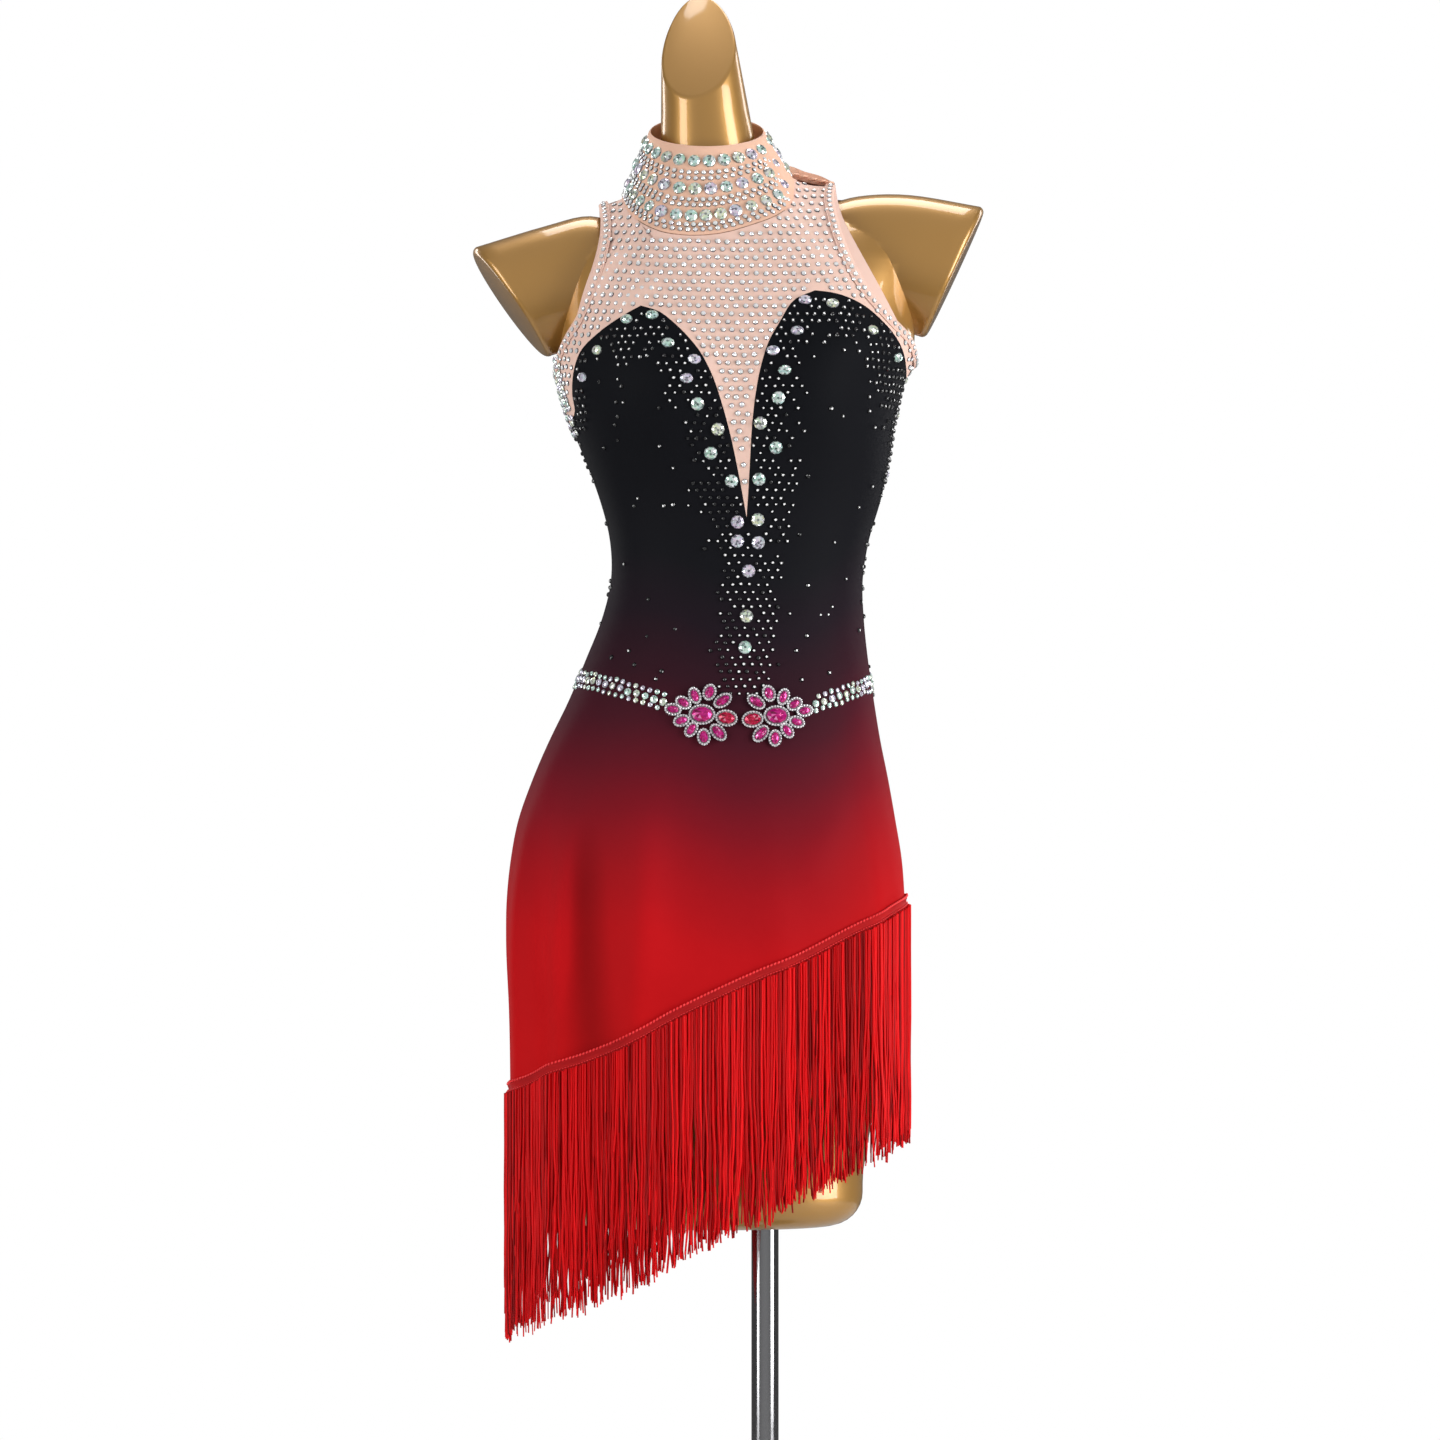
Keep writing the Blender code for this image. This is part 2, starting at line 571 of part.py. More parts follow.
def front_edges():
    cups = edge((CUP_LEFT_OUTER, CUP_LEFT_INNER, CUP_RIGHT_INNER, CUP_RIGHT_OUTER), FRONT_COLUMNS, True)
    top = edge((ARMHOLE_LEFT, SHOULDER_LEFT, NECK_FRONT, SHOULDER_RIGHT, ARMHOLE_RIGHT),
               YOKE_TOP_COLUMNS, True)
    return cups, top


def back_edges(columns):
    low = edge((BACK_EDGE,), (columns,), False)
    top = edge((ARMHOLE_BACK_RIGHT, tuple(reversed(SHOULDER_RIGHT)), NECK_BACK,
                tuple(reversed(SHOULDER_LEFT)), ARMHOLE_BACK_LEFT), BACK_YOKE_TOP_COLUMNS, False)
    return low, top


def lock_length(x):
    """Length of the fringe, which is a little less towards the hem's high side."""
    return LOCK_LENGTH - LOCK_TAPER * (x - LOCK_TAPER_START_X)


def front_yoke_grid():
    cups, top = front_edges()
    return panel_grid(moved_edge(*cups, SEAM_GAP), top, YOKE_ROWS, lean=YOKE_LEAN)


def back_yoke_grid():
    low, top = back_edges(sum(BACK_YOKE_TOP_COLUMNS))
    return panel_grid((low[0], low[1] + SEAM_GAP), top, BACK_YOKE_ROWS)


def cloth():
    cups = front_edges()[0]
    hem = hem_of_cloth(HEM_FRONT, sum(FRONT_COLUMNS), True)
    panel("front_panel", panel_grid(hem, cups, FRONT_ROWS, PANEL_CROWD), True, BLACK_CLOTH)
    low = back_edges(sum(BACK_YOKE_TOP_COLUMNS))[0]
    hem = hem_of_cloth(HEM_BACK, sum(BACK_YOKE_TOP_COLUMNS), False)
    panel("back_panel", panel_grid(hem, low, BACK_ROWS, PANEL_CROWD), False, BLACK_CLOTH)
    panel("front_yoke", front_yoke_grid(), True, NUDE_MESH)
    panel("back_yoke", back_yoke_grid(), False, NUDE_MESH)


def binding(name, front_edge, front_columns, back_edge, back_columns, inward):
    """The strip round an armhole, up the front and down the back, moved out from the cloth's own edge."""
    x, z = along(front_edge, front_columns, True)
    angles, heights = [angle_of(x, z, True)], [z]
    x, z = along(back_edge, back_columns, False)
    angles = np.concatenate(angles + [angle_of(x, z, False)[1:]])
    heights = np.concatenate(heights + [z[1:]])
    places = on_figure(angles, heights)
    out = outward(angles, heights)
    side = np.cross(out, np.gradient(places, axis=0)) * inward
    side = side / np.linalg.norm(side, axis=-1, keepdims=True)
    layers = []
    for lift in (BINDING_GAP + TRIM_WALL, BINDING_GAP):
        rows = np.stack([places + side * BINDING_WIDTH + out * BINDING_STAND, places]) + out * lift
        rows[:, 0, 1] = -SEAM_GAP
        rows[:, -1, 1] = SEAM_GAP
        layers.append(rows)
    bm = wall_mesh(layers[0], layers[1])[0]
    return finish(name, bm, BINDING_CLOTH, 0.6)


def bindings():
    binding("binding_left", ARMHOLE_LEFT, YOKE_TOP_COLUMNS[0],
            ARMHOLE_BACK_LEFT, BACK_YOKE_TOP_COLUMNS[-1], -1)
    binding("binding_right", tuple(reversed(ARMHOLE_RIGHT)), YOKE_TOP_COLUMNS[-1],
            tuple(reversed(ARMHOLE_BACK_RIGHT)), BACK_YOKE_TOP_COLUMNS[0], 1)


# The collar

def neck_seam():
    """Places of the neck seam all round, with their angles about the collar's centre."""
    x, z = along(NECK_FRONT, YOKE_TOP_COLUMNS[2], True)
    front = on_figure(angle_of(x, z, True), z)
    x, z = along(NECK_BACK, BACK_YOKE_TOP_COLUMNS[2], False)
    back = on_figure(angle_of(x, z, False), z)
    places = np.concatenate([front, back[1:-1]])
    turns = np.degrees(np.arctan2(places[:, 0] - RIM_CENTRE_X, -places[:, 1])) % 360
    order = np.argsort(turns)
    return turns[order], places[order]


def collar_place(turn, t, lift):
    """A place on the collar at a turn round the neck and a share of its height, moved out."""
    seam_turns, seam = neck_seam()
    base = np.stack([np.interp(turn % 360, seam_turns, seam[:, i], period=360) for i in range(3)], axis=-1)
    angle = np.radians(turn)
    rim = np.stack([RIM_CENTRE_X + RIM_HALF_WIDTH * np.sin(angle), -RIM_HALF_DEPTH * np.cos(angle),
                    RIM_HEIGHT - RIM_SLOPE * np.cos(angle)], axis=-1)
    rise = rim - base
    base = base + rise / np.linalg.norm(rise, axis=-1, keepdims=True) * COLLAR_SEAM_GAP
    out = np.stack([np.sin(angle), -np.cos(angle), np.full(angle.shape, 0.30)], axis=-1)
    out = out / np.linalg.norm(out, axis=-1, keepdims=True)
    return base + (rim - base) * t + out * lift[..., None]


def collar():
    columns = 2 * COLLAR_STONES
    turns = COLLAR_START + np.linspace(0, 360 + COLLAR_LAP_ANGLE, columns + 1)
    lap = COLLAR_LAP_RISE * np.clip((turns - turns[-1] + 2 * COLLAR_LAP_ANGLE) / COLLAR_LAP_ANGLE, 0, 1)
    outer = []
    inner = []
    for row, t in enumerate(COLLAR_ROWS):
        stones = np.zeros(columns + 1)
        if row in COLLAR_STONE_ROWS:
            stones[1::2] = COLLAR_STONE_RISE
            stones[turns < COLLAR_START + COLLAR_LAP_ANGLE * 1.5] = 0.0
        outer.append(collar_place(turns, t, lap + stones))
        inner.append(collar_place(turns, t, lap - WALL))
    bm = wall_mesh(np.array(outer), np.array(inner))[0]
    finish("collar", bm, COLLAR_CLOTH, 0.6)


def buttons():
    for number, spot in enumerate(BUTTONS, start=1):
        bm = bmesh.new()
        bmesh.ops.create_uvsphere(bm, u_segments=6, v_segments=4, radius=BUTTON_RADIUS)
        button = finish(f"button_{number}", bm, BUTTON_CLOTH, 0.4)
        button.location = (spot.x, 0.0, spot.z + BUTTON_RADIUS + SEAT_START)
        seat(button, Vector((0.0, 0.0, -1.0)), ("front_yoke", "back_yoke"), BUTTON_SEAT_GAP)


# Fringe

def fringe(name, hem, front):
    """The header tape over the cloth's edge, and the locks that hang from it side by side."""
    columns = 2 * LOCKS + 1
    angles, heights = edge((hem,), (columns,), front)
    grid_angles = np.stack([angles, angles])
    grid_heights = np.stack([heights - TAPE_HEIGHT, heights])
    shape = grid_angles.shape
    outer = kept_on_its_side(lifted(grid_angles, grid_heights, np.full(shape, TRIM_GAP + TAPE_WALL)), front)
    inner = kept_on_its_side(lifted(grid_angles, grid_heights, np.full(shape, TRIM_GAP)), front)
    bm, outer_verts, inner_verts = wall_mesh(outer, inner)
    for lock in range(LOCKS):
        column = 2 * lock + (1 if front else 0)
        ends = {outer_verts[column], outer_verts[column + 1], inner_verts[column], inner_verts[column + 1]}
        face = next(item for item in outer_verts[column].link_faces if set(item.verts) == ends)
        sway = LOCK_SWAY * math.sin(2.4 * lock)
        drop = lock_length(face.calc_center_median().x) / LOCK_SEGMENTS
        for segment in range(LOCK_SEGMENTS):
            face = bmesh.ops.extrude_discrete_faces(bm, faces=[face])["faces"][0]
            centre = face.calc_center_median()
            before = 1 - (1 - LOCK_TIP_WIDTH) * segment / LOCK_SEGMENTS
            after = 1 - (1 - LOCK_TIP_WIDTH) * (segment + 1) / LOCK_SEGMENTS
            for vert in face.verts:
                vert.co = centre + (vert.co - centre) * after / before
                vert.co.z -= drop
                vert.co.x += sway * (segment + 1) / LOCK_SEGMENTS
    return finish(name, bm, FRINGE_RED, 0.5)


# Stones, belt and brooches

def strip(name, path, front, stones):
    """A narrow raised strip of stones along a path on the cloth."""
    columns = 2 * stones
    x, z = along(path, columns, front)
    angles = angle_of(x, z, front)
    offsets = np.array([-0.5, 0.0, 0.5]) * BELT_WIDTH
    grid_angles = np.stack([angles] * 3)
    grid_heights = np.stack([z + offset for offset in offsets])
    bumps = np.zeros(grid_angles.shape)
    bumps[1, 1::2] = BELT_STONE_RISE
    outer = lifted(grid_angles, grid_heights, TRIM_GAP + TRIM_WALL + bumps)
    inner = lifted(grid_angles, grid_heights, np.full(grid_angles.shape, TRIM_GAP))
    bm = wall_mesh(outer, inner)[0]
    return finish(name, bm, CLEAR_STONE, 0.15)


def belt():
    strip("belt_left", BELT_LEFT_SIDE, True, BELT_LEFT_STONES)
    strip("belt_right", BELT_RIGHT_SIDE, True, BELT_RIGHT_STONES)
    strip("belt_back", BELT_BACK, False, BELT_BACK_STONES)


def brooch(name, centre, mirror):
    """A jewelled flower: a plate on the cloth whose outer points rise as petals round a central gem."""
    turns = np.linspace(0, 360, BROOCH_SIDES + 1)
    petals = np.abs(np.cos(np.radians(turns) * BROOCH_PETALS / 2)) ** BROOCH_PETAL_FULLNESS
    reach = BROOCH_REACH * (1 - BROOCH_NOTCH + BROOCH_NOTCH * petals)
    rings = np.array(BROOCH_RINGS)
    rise = BROOCH_RISE * np.array(BROOCH_GEM_RISE)
    petal_rise = BROOCH_RISE * np.array(BROOCH_PETAL_RISE)
    angle, height = angle_of(centre.x, centre.z, True), centre.z
    origin = on_figure(angle, height)
    out = outward(angle, height)
    across = np.cross((0.0, 0.0, 1.0), out)
    across = across / np.linalg.norm(across)
    up = np.cross(out, across)
    bm = bmesh.new()
    layers = []
    for lift_all in (0.0, 1.0):
        layer = []
        for ring, base_rise, lobe in zip(rings[1:], rise[1:], petal_rise[1:]):
            row = []
            for i in range(BROOCH_SIDES):
                u = mirror * reach[i] * ring * math.cos(math.radians(turns[i]))
                v = reach[i] * ring * math.sin(math.radians(turns[i])) * BROOCH_HEIGHT_SHARE
                lift = TRIM_GAP + lift_all * (BROOCH_THICKNESS + base_rise + lobe * petals[i])
                row.append(bm.verts.new(on_cloth_near(origin, across, up, u, v, lift)))
            layer.append(row)
        tip = bm.verts.new(on_cloth_near(origin, across, up, 0.0, 0.0,
                                         TRIM_GAP + lift_all * (BROOCH_THICKNESS + rise[0])))
        layers.append((tip, layer))
    for tip, layer in layers:
        for i in range(BROOCH_SIDES):
            j = (i + 1) % BROOCH_SIDES
            bm.faces.new((tip, layer[0][i], layer[0][j]))
            for low, high in zip(layer, layer[1:]):
                bm.faces.new((low[i], high[i], high[j], low[j]))
    below, above = layers[0][1][-1], layers[1][1][-1]
    for i in range(BROOCH_SIDES):
        j = (i + 1) % BROOCH_SIDES
        bm.faces.new((below[i], below[j], above[j], above[i]))
    return finish(name, bm, RUBY, 0.2)


def on_cloth_near(origin, across, up, u, v, lift):
    """A place beside an origin on the cloth, laid on the cloth and moved out."""
    place = origin + across * u + up * v
    angle = angle_of(place[0], place[2], True)
    return lifted(angle, place[2], lift)


def brooches():
    brooch("brooch_left", BROOCH_CENTRES[0], 1)
    brooch("brooch_right", BROOCH_CENTRES[1], -1)


def seat(piece, way, carriers, gap):
    """Move a small piece straight to the cloth that carries it, until it lies just clear of it."""
    bpy.context.view_layer.update()
    corners = [piece.matrix_world @ vert.co for vert in piece.data.vertices]
    shape = BVHTree.FromPolygons(corners, [tuple(face.vertices) for face in piece.data.polygons])
    starts = corners + [piece.matrix_world @ face.center for face in piece.data.polygons]
    ways = []
    for name in carriers:
        carrier = bpy.data.objects[name].data
        tree = BVHTree.FromPolygons([vert.co for vert in carrier.vertices],
                                    [tuple(face.vertices) for face in carrier.polygons])
        ways += [tree.ray_cast(start, way, SEAT_REACH)[3] for start in starts]
        near = [vert.co for vert in carrier.vertices if (vert.co - piece.location).length < SEAT_REACH]
        ways += [shape.ray_cast(place, -way, SEAT_REACH)[3] for place in near]
    piece.location += way * (min(run for run in ways if run is not None) - gap)


def cup_stones():
    for number, spot in enumerate(STONES, start=1):
        angle = angle_of(spot.x, spot.z, True)
        out = Vector(outward(angle, spot.z))
        bm = bmesh.new()
        bmesh.ops.create_cone(bm, cap_ends=True, segments=8, radius1=CUP_STONE_RADIUS,
                              radius2=CUP_STONE_TABLE_RADIUS, depth=CUP_STONE_HEIGHT)
        stone = finish(f"cup_stone_{number}", bm, CLEAR_STONE, 0.1)
        stone.rotation_mode = "QUATERNION"
        stone.rotation_quaternion = out.to_track_quat("Z", "Y")
        stone.location = lifted(angle, spot.z, SEAT_START + CUP_STONE_HEIGHT / 2)
        seat(stone, -out, ("front_panel", "front_yoke"), STONE_SEAT_GAP)


# The dress form and its stand

def form_ring(z, across, deep):
    """A level ring of the form, inside the figure, under the line of the shoulders."""
    x_line = np.linspace(SHOULDER_LINE[0].x, SHOULDER_LINE[-1].x, 400)
    z_line = shoulder_height(x_line)
    peak = int(np.argmax(z_line))
    middle, half = half_span(z)
    left = max(middle - half + across, np.interp(z + deep, z_line[:peak + 1], x_line[:peak + 1]))
    right = min(middle + half - across, np.interp(-(z + deep), -z_line[peak:], x_line[peak:]))
    turns = np.linspace(-math.pi, math.pi, FORM_SIDES, endpoint=False)
    x = (left + right) / 2 + (right - left) / 2 * np.sin(turns)
    front = np.cos(turns) >= 0
    depth = figure_depth(x, np.full(x.shape, z), front, across, deep)
    return np.stack([x, np.where(front, -depth, depth), np.full(x.shape, z)], axis=-1)


def torso_rings():
    rings = []
    for step in range(4):
        turn = math.radians(30 * step)
        z = FORM_BOTTOM + FORM_EDGE_ROUND * (1 - math.cos(turn))
        extra = FORM_EDGE_ROUND * (1 - math.sin(turn))
        across = straight(FORM_INSET, "z", "across", z) + extra
        deep = straight(FORM_INSET, "z", "deep", z) + extra
        rings.append(form_ring(z, across, deep))
    for z in FORM_HEIGHTS + (FORM_TOP_RING,):
        rings.append(form_ring(z, straight(FORM_INSET, "z", "across", z), straight(FORM_INSET, "z", "deep", z)))
    return rings


def stub_rings(slices):
    """Slanted oval sections of a shoulder, from inside the torso to the flat cut and its rounded edge."""
    turns = np.linspace(0, 2 * math.pi, STUB_SIDES, endpoint=False)
    rings = []
    for piece in slices:
        middle = np.array([(piece.top_x + piece.bottom_x) / 2, 0.0, (piece.top_z + piece.bottom_z) / 2])
        long_half = np.array([piece.top_x - piece.bottom_x, 0.0, piece.top_z - piece.bottom_z]) / 2
        deep_half = np.array([piece.lean, piece.deep, -piece.drop])
        rings.append(middle + np.cos(turns)[:, None] * long_half + np.sin(turns)[:, None] * deep_half)
    out = np.cross(long_half, deep_half)
    out = out / np.linalg.norm(out) * np.sign(out[0] * middle[0])
    spokes = (rings[-1] - middle) / np.linalg.norm(rings[-1] - middle, axis=-1, keepdims=True)
    edge_ring = rings[-1]
    for step in STUB_ROUND_STEPS:
        turn = math.radians(step)
        rings.append(edge_ring + STUB_EDGE_ROUND * (out * math.sin(turn) - spokes * (1 - math.cos(turn))))
    return rings


def neck_ring(z, turns):
    left, right, front, back = (smooth(NECK, "z", side, z) for side in ("left", "right", "front", "back"))
    x = (left + right) / 2 + (right - left) / 2 * np.sin(turns)
    y = np.where(np.cos(turns) >= 0, -front, back) * np.abs(np.cos(turns))
    return x, y


def neck_rings():
    """Level ovals of the neck, and a last one that lies in the slanted cut."""
    turns = np.linspace(-math.pi, math.pi, NECK_SIDES, endpoint=False)
    rings = []
    for row in NECK[:3]:
        x, y = neck_ring(np.full(NECK_SIDES, row.z), turns)
        rings.append(np.stack([x, y, np.full(NECK_SIDES, row.z)], axis=-1))
    middle = (NECK[3].left + NECK[3].right) / 2
    z = np.full(NECK_SIDES, NECK_CUT_HEIGHT)
    for _ in range(20):
        x, y = neck_ring(z, turns)
        z = NECK_CUT_HEIGHT + NECK_CUT_ACROSS * (x - middle) + NECK_CUT_BACK * y
    rings.append(np.stack([x, y, z], axis=-1))
    return rings


def joined_bodies(name, body, others, colour, roughness, metallic):
    """One body that takes in the others where they cross."""
    whole = finish(name, body, colour, roughness, metallic)
    guides = bpy.data.collections.new("cutters")
    bpy.context.scene.collection.children.link(guides)
    for number, other in enumerate(others):
        cutter = finish(f"{name}_part_{number}", other, colour, roughness, metallic)
        part_collection().objects.unlink(cutter)
        guides.objects.link(cutter)
        cutter.hide_render = True
        cutter.display_type = "WIRE"
        joint = whole.modifiers.new(f"with_{number}", "BOOLEAN")
        joint.operation = "UNION"
        joint.object = cutter
    return whole


def dress_form():
    joined_bodies("dress_form", loft_mesh(torso_rings()),
                  (loft_mesh(stub_rings(STUB_LEFT)), loft_mesh(stub_rings(STUB_RIGHT)), loft_mesh(neck_rings())),
                  GOLD, 0.15, 0.6)


def stand():
    plate = (Spot(BASE_RADIUS - BASE_FOOT_BEVEL, 0.0), Spot(BASE_RADIUS, BASE_FOOT_BEVEL),
             Spot(BASE_RADIUS, BASE_HEIGHT - BASE_BEVEL), Spot(BASE_RADIUS - BASE_BEVEL, BASE_HEIGHT))
    hub = (Spot(HUB_RADIUS, BASE_HEIGHT + SEAT_GAP), Spot(HUB_RADIUS, HUB_TOP - HUB_BEVEL),
           Spot(POLE_RADIUS + HUB_BEVEL, HUB_TOP))
    pole = (Spot(POLE_RADIUS, HUB_TOP + SEAT_GAP), Spot(POLE_RADIUS, FORM_BOTTOM - SEAT_GAP))
    for name, spots, sides in (("base_plate", plate, 40), ("base_hub", hub, 24), ("pole", pole, 20)):
        finish(name, loft_mesh(disc_rings(spots, sides)), DARK_CHROME, 0.12, 1.0)


def main():
    for item in list(bpy.data.objects):
        bpy.data.objects.remove(item, do_unlink=True)
    cloth()
    bindings()
    collar()
    buttons()
    fringe("fringe_front", HEM_FRONT, True)
    fringe("fringe_back", HEM_BACK, False)
    belt()
    brooches()
    cup_stones()
    dress_form()
    stand()


main()
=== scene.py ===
"""Looks for the Latin dance dress: fine cloth, stones, fringe, brooches, gold form and studio.

Metres, +Z up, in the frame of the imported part. A place on the cloth is an angle round the figure (0 at the
centre front, 90 at +X, 180 at the back) and a height.
"""
import math
from collections import namedtuple

import bpy
import numpy as np
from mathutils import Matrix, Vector


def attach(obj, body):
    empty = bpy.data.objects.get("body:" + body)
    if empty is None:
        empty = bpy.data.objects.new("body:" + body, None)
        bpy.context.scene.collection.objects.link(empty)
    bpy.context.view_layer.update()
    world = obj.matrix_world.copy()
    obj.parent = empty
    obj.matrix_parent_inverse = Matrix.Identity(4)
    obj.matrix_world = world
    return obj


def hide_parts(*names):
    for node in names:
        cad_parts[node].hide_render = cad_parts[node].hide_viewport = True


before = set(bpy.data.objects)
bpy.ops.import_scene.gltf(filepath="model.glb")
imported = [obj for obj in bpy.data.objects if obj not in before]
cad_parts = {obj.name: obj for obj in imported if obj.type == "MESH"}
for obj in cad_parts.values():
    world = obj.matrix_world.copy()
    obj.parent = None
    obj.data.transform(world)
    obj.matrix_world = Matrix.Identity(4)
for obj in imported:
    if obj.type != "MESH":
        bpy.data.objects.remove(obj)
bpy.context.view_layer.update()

Spot = namedtuple("Spot", "x z")
Step = namedtuple("Step", "s x z")
Cut = namedtuple("Cut", "shape faces sides")


def table(kind, *rows):
    return tuple(kind(*row) for row in rows)


def spots_of(*numbers):
    """Spots from their x and z in turn."""
    return table(Spot, *zip(numbers[::2], numbers[1::2]))


# The side seams angles, at the front's panel and at the back's
SIDE_ANGLES = {True: (-90.0, 90.0), False: (90.0, 270.0)}

# Cloth and trim
WALL = 0.0012
SEAM_GAP = 0.0004
COLLAR_SEAM_GAP = 0.0006
BINDING_WIDTH = 0.0086
BINDING_PROFILE = (
    (0.00, 0.0004), (0.00, 0.0012), (0.10, 0.0017), (0.45, 0.0019), (0.80, 0.0016), (0.84, 0.0010),
    (0.88, 0.0010), (0.92, 0.0014), (1.00, 0.0012),
)
TAPE_HEIGHT = 0.013
TAPE_RED = (0.46, 0.004, 0.006)
CLOTH_UNDER_TAPE = 0.010
LOCK_LENGTH = 0.2010
LOCK_TAPER = 0.030
LOCK_TAPER_START_X = -0.208

# Fringe strands
STRANDS = 240
STRAND_LAYERS = 3
STRAND_POINTS = 13
STRAND_SIDES = 4
STRAND_RADIUS = 0.00105
HEADER_PROFILE = (
    (-0.02, 0.0006), (0.00, 0.0012), (0.30, 0.0014), (0.34, 0.0020), (0.42, 0.0021), (0.46, 0.0015),
    (0.74, 0.0015), (0.80, 0.0021), (0.97, 0.0022), (1.00, 0.0012),
)
# Rows of stitches: share of the tape's height, pitch, radius, aspect and lean
HEADER_STITCHES = ((1.00, 0.0030, 0.00165, 0.60, 0.5), (0.46, 0.0024, 0.00100, 0.45, 0.0))

# Stones
YOKE_STONE_RADIUS = 0.0025
YOKE_STONE_PITCH = 0.0080
YOKE_ROW_PITCH = 0.0070
JET_RADIUS = 0.0020
JET_PITCH = 0.0073
JET_ROW_PITCH = 0.0061
JET_BAND = 0.038
JET_CENTRE_REACH = 0.0225
JET_SPARSE = 0.022
LARGE_STONE_RADIUS = 0.0058
COLLAR_LAP_ANGLE = 14.0
COLLAR_LAP_RISE = 0.0022
COLLAR_START = 62.0
StoneRow = namedtuple("StoneRow", "share radius pitch stagger")
COLLAR_STONE_ROWS = table(StoneRow, 
    (0.83, 0.0057, 0.0128, 0), (0.70, 0.0024, 0.0064, 1), (0.635, 0.0024, 0.0064, 0),
    (0.515, 0.0058, 0.0136, 1), (0.395, 0.0024, 0.0062, 0), (0.335, 0.0024, 0.0062, 1),
    (0.215, 0.0057, 0.0130, 0), (0.115, 0.0025, 0.0064, 1), (0.060, 0.0024, 0.0066, 0),
)

# The figure under the cloth
SHOULDER_ROUND = 0.080
BUST_HEIGHT = 1.232
BUST_RISE = 0.025
BUST_SPREAD_ACROSS = 0.050
BUST_SPREAD_UP = 0.046
BUST_CENTRES = (-0.0985, 0.0545)

# The dress form
FORM_SIDES = 128
FORM_BOTTOM = 0.517
FORM_EDGE_ROUND = 0.028
FORM_TOP_RING = 1.452
NECK_CUT_HEIGHT = 1.531
NECK_CUT_ACROSS = 0.40
NECK_CUT_BACK = 1.26

# The stand
BASE_RADIUS = 0.180
BASE_HEIGHT = 0.012
FOOT_BEVEL = 0.0015
HUB_RADIUS = 0.030
HUB_TOP = 0.034
POLE_RADIUS = 0.0117
SEAT_GAP = 0.0003

# A section of the clothed figure: its reach to -X and +X, its depth before and behind, and its squareness
Section = namedtuple("Section", "z left right front back square")
FIGURE = table(Section, 
    (0.600, -0.2185, 0.1200, 0.097, 0.104, 2.3), (0.700, -0.2200, 0.1205, 0.099, 0.109, 2.3),
    (0.761, -0.2225, 0.1210, 0.100, 0.113, 2.3), (0.795, -0.2220, 0.1200, 0.101, 0.115, 2.3),
    (0.830, -0.2185, 0.1175, 0.101, 0.116, 2.3), (0.864, -0.2120, 0.1120, 0.100, 0.114, 2.3),
    (0.898, -0.2000, 0.1060, 0.099, 0.109, 2.25), (0.933, -0.1850, 0.0990, 0.097, 0.101, 2.2),
    (0.967, -0.1685, 0.0935, 0.094, 0.092, 2.2), (1.002, -0.1540, 0.0885, 0.090, 0.084, 2.15),
    (1.036, -0.1405, 0.0850, 0.086, 0.078, 2.15), (1.070, -0.1325, 0.0840, 0.083, 0.075, 2.15),
    (1.105, -0.1335, 0.0895, 0.084, 0.077, 2.2), (1.139, -0.1420, 0.0995, 0.087, 0.082, 2.2),
    (1.174, -0.1550, 0.1070, 0.091, 0.088, 2.3), (1.208, -0.1690, 0.1125, 0.095, 0.093, 2.35),
    (1.242, -0.1785, 0.1210, 0.096, 0.096, 2.4), (1.262, -0.1805, 0.1310, 0.095, 0.097, 2.4),
    (1.290, -0.1830, 0.1335, 0.090, 0.097, 2.4), (1.330, -0.1835, 0.1345, 0.083, 0.092, 2.4),
    (1.360, -0.1835, 0.1350, 0.075, 0.084, 2.4), (1.400, -0.1835, 0.1355, 0.056, 0.065, 2.4),
    (1.440, -0.1835, 0.1360, 0.040, 0.048, 2.4),
)

# The top of the figure seen from the front, over both shoulders and the root of the neck
SHOULDER_LINE = spots_of(
    -0.260, 1.352, -0.204, 1.380, -0.1425, 1.391, -0.123, 1.398, -0.105, 1.415, -0.090, 1.447,
    -0.050, 1.500, -0.012, 1.460, 0.006, 1.432, 0.023, 1.416, 0.0605, 1.408, 0.110, 1.407, 0.190, 1.395,
)

# Soft folds of the skirt: where each crosses the hem, its lean, half width, rise and the height it fades at
Fold = namedtuple("Fold", "angle lean width rise top")
FOLD_FULL_HEIGHT = 0.72
FOLDS = table(Fold, 
    (-62, 8, 7, 0.0045, 1.00), (-38, 10, 6, 0.0050, 0.96), (-14, 6, 5, 0.0030, 0.93),
    (18, -4, 6, 0.0025, 0.95), (50, -8, 7, 0.0035, 0.98), (128, 6, 8, 0.0040, 0.98),
    (158, 4, 7, 0.0035, 0.95), (198, -4, 7, 0.0045, 0.96), (236, -8, 8, 0.0050, 1.00),
)

# Edges of the front, as (x, z) seen from the front. A spot past the side lies on the side seam.
CUP_LEFT_OUTER = spots_of(
    -0.1690, 1.201, -0.1625, 1.210, -0.1640, 1.226, -0.1630, 1.242, -0.1570, 1.260, -0.1400, 1.276,
    -0.1200, 1.289, -0.1050, 1.297,
)
CUP_LEFT_INNER = spots_of(
    -0.1050, 1.297, -0.0895, 1.2915, -0.0777, 1.282, -0.0655, 1.2695, -0.0560, 1.2575, -0.0455, 1.2375,
    -0.0375, 1.2145, -0.0304, 1.189, -0.0240, 1.160, -0.0164, 1.1195,
)
CUP_RIGHT_INNER = spots_of(
    -0.0164, 1.1195, -0.0150, 1.140, -0.0138, 1.162, -0.0118, 1.197, -0.0088, 1.223, -0.0040, 1.247,
    0.0022, 1.266, 0.0110, 1.282, 0.0240, 1.302, 0.0410, 1.310,
)
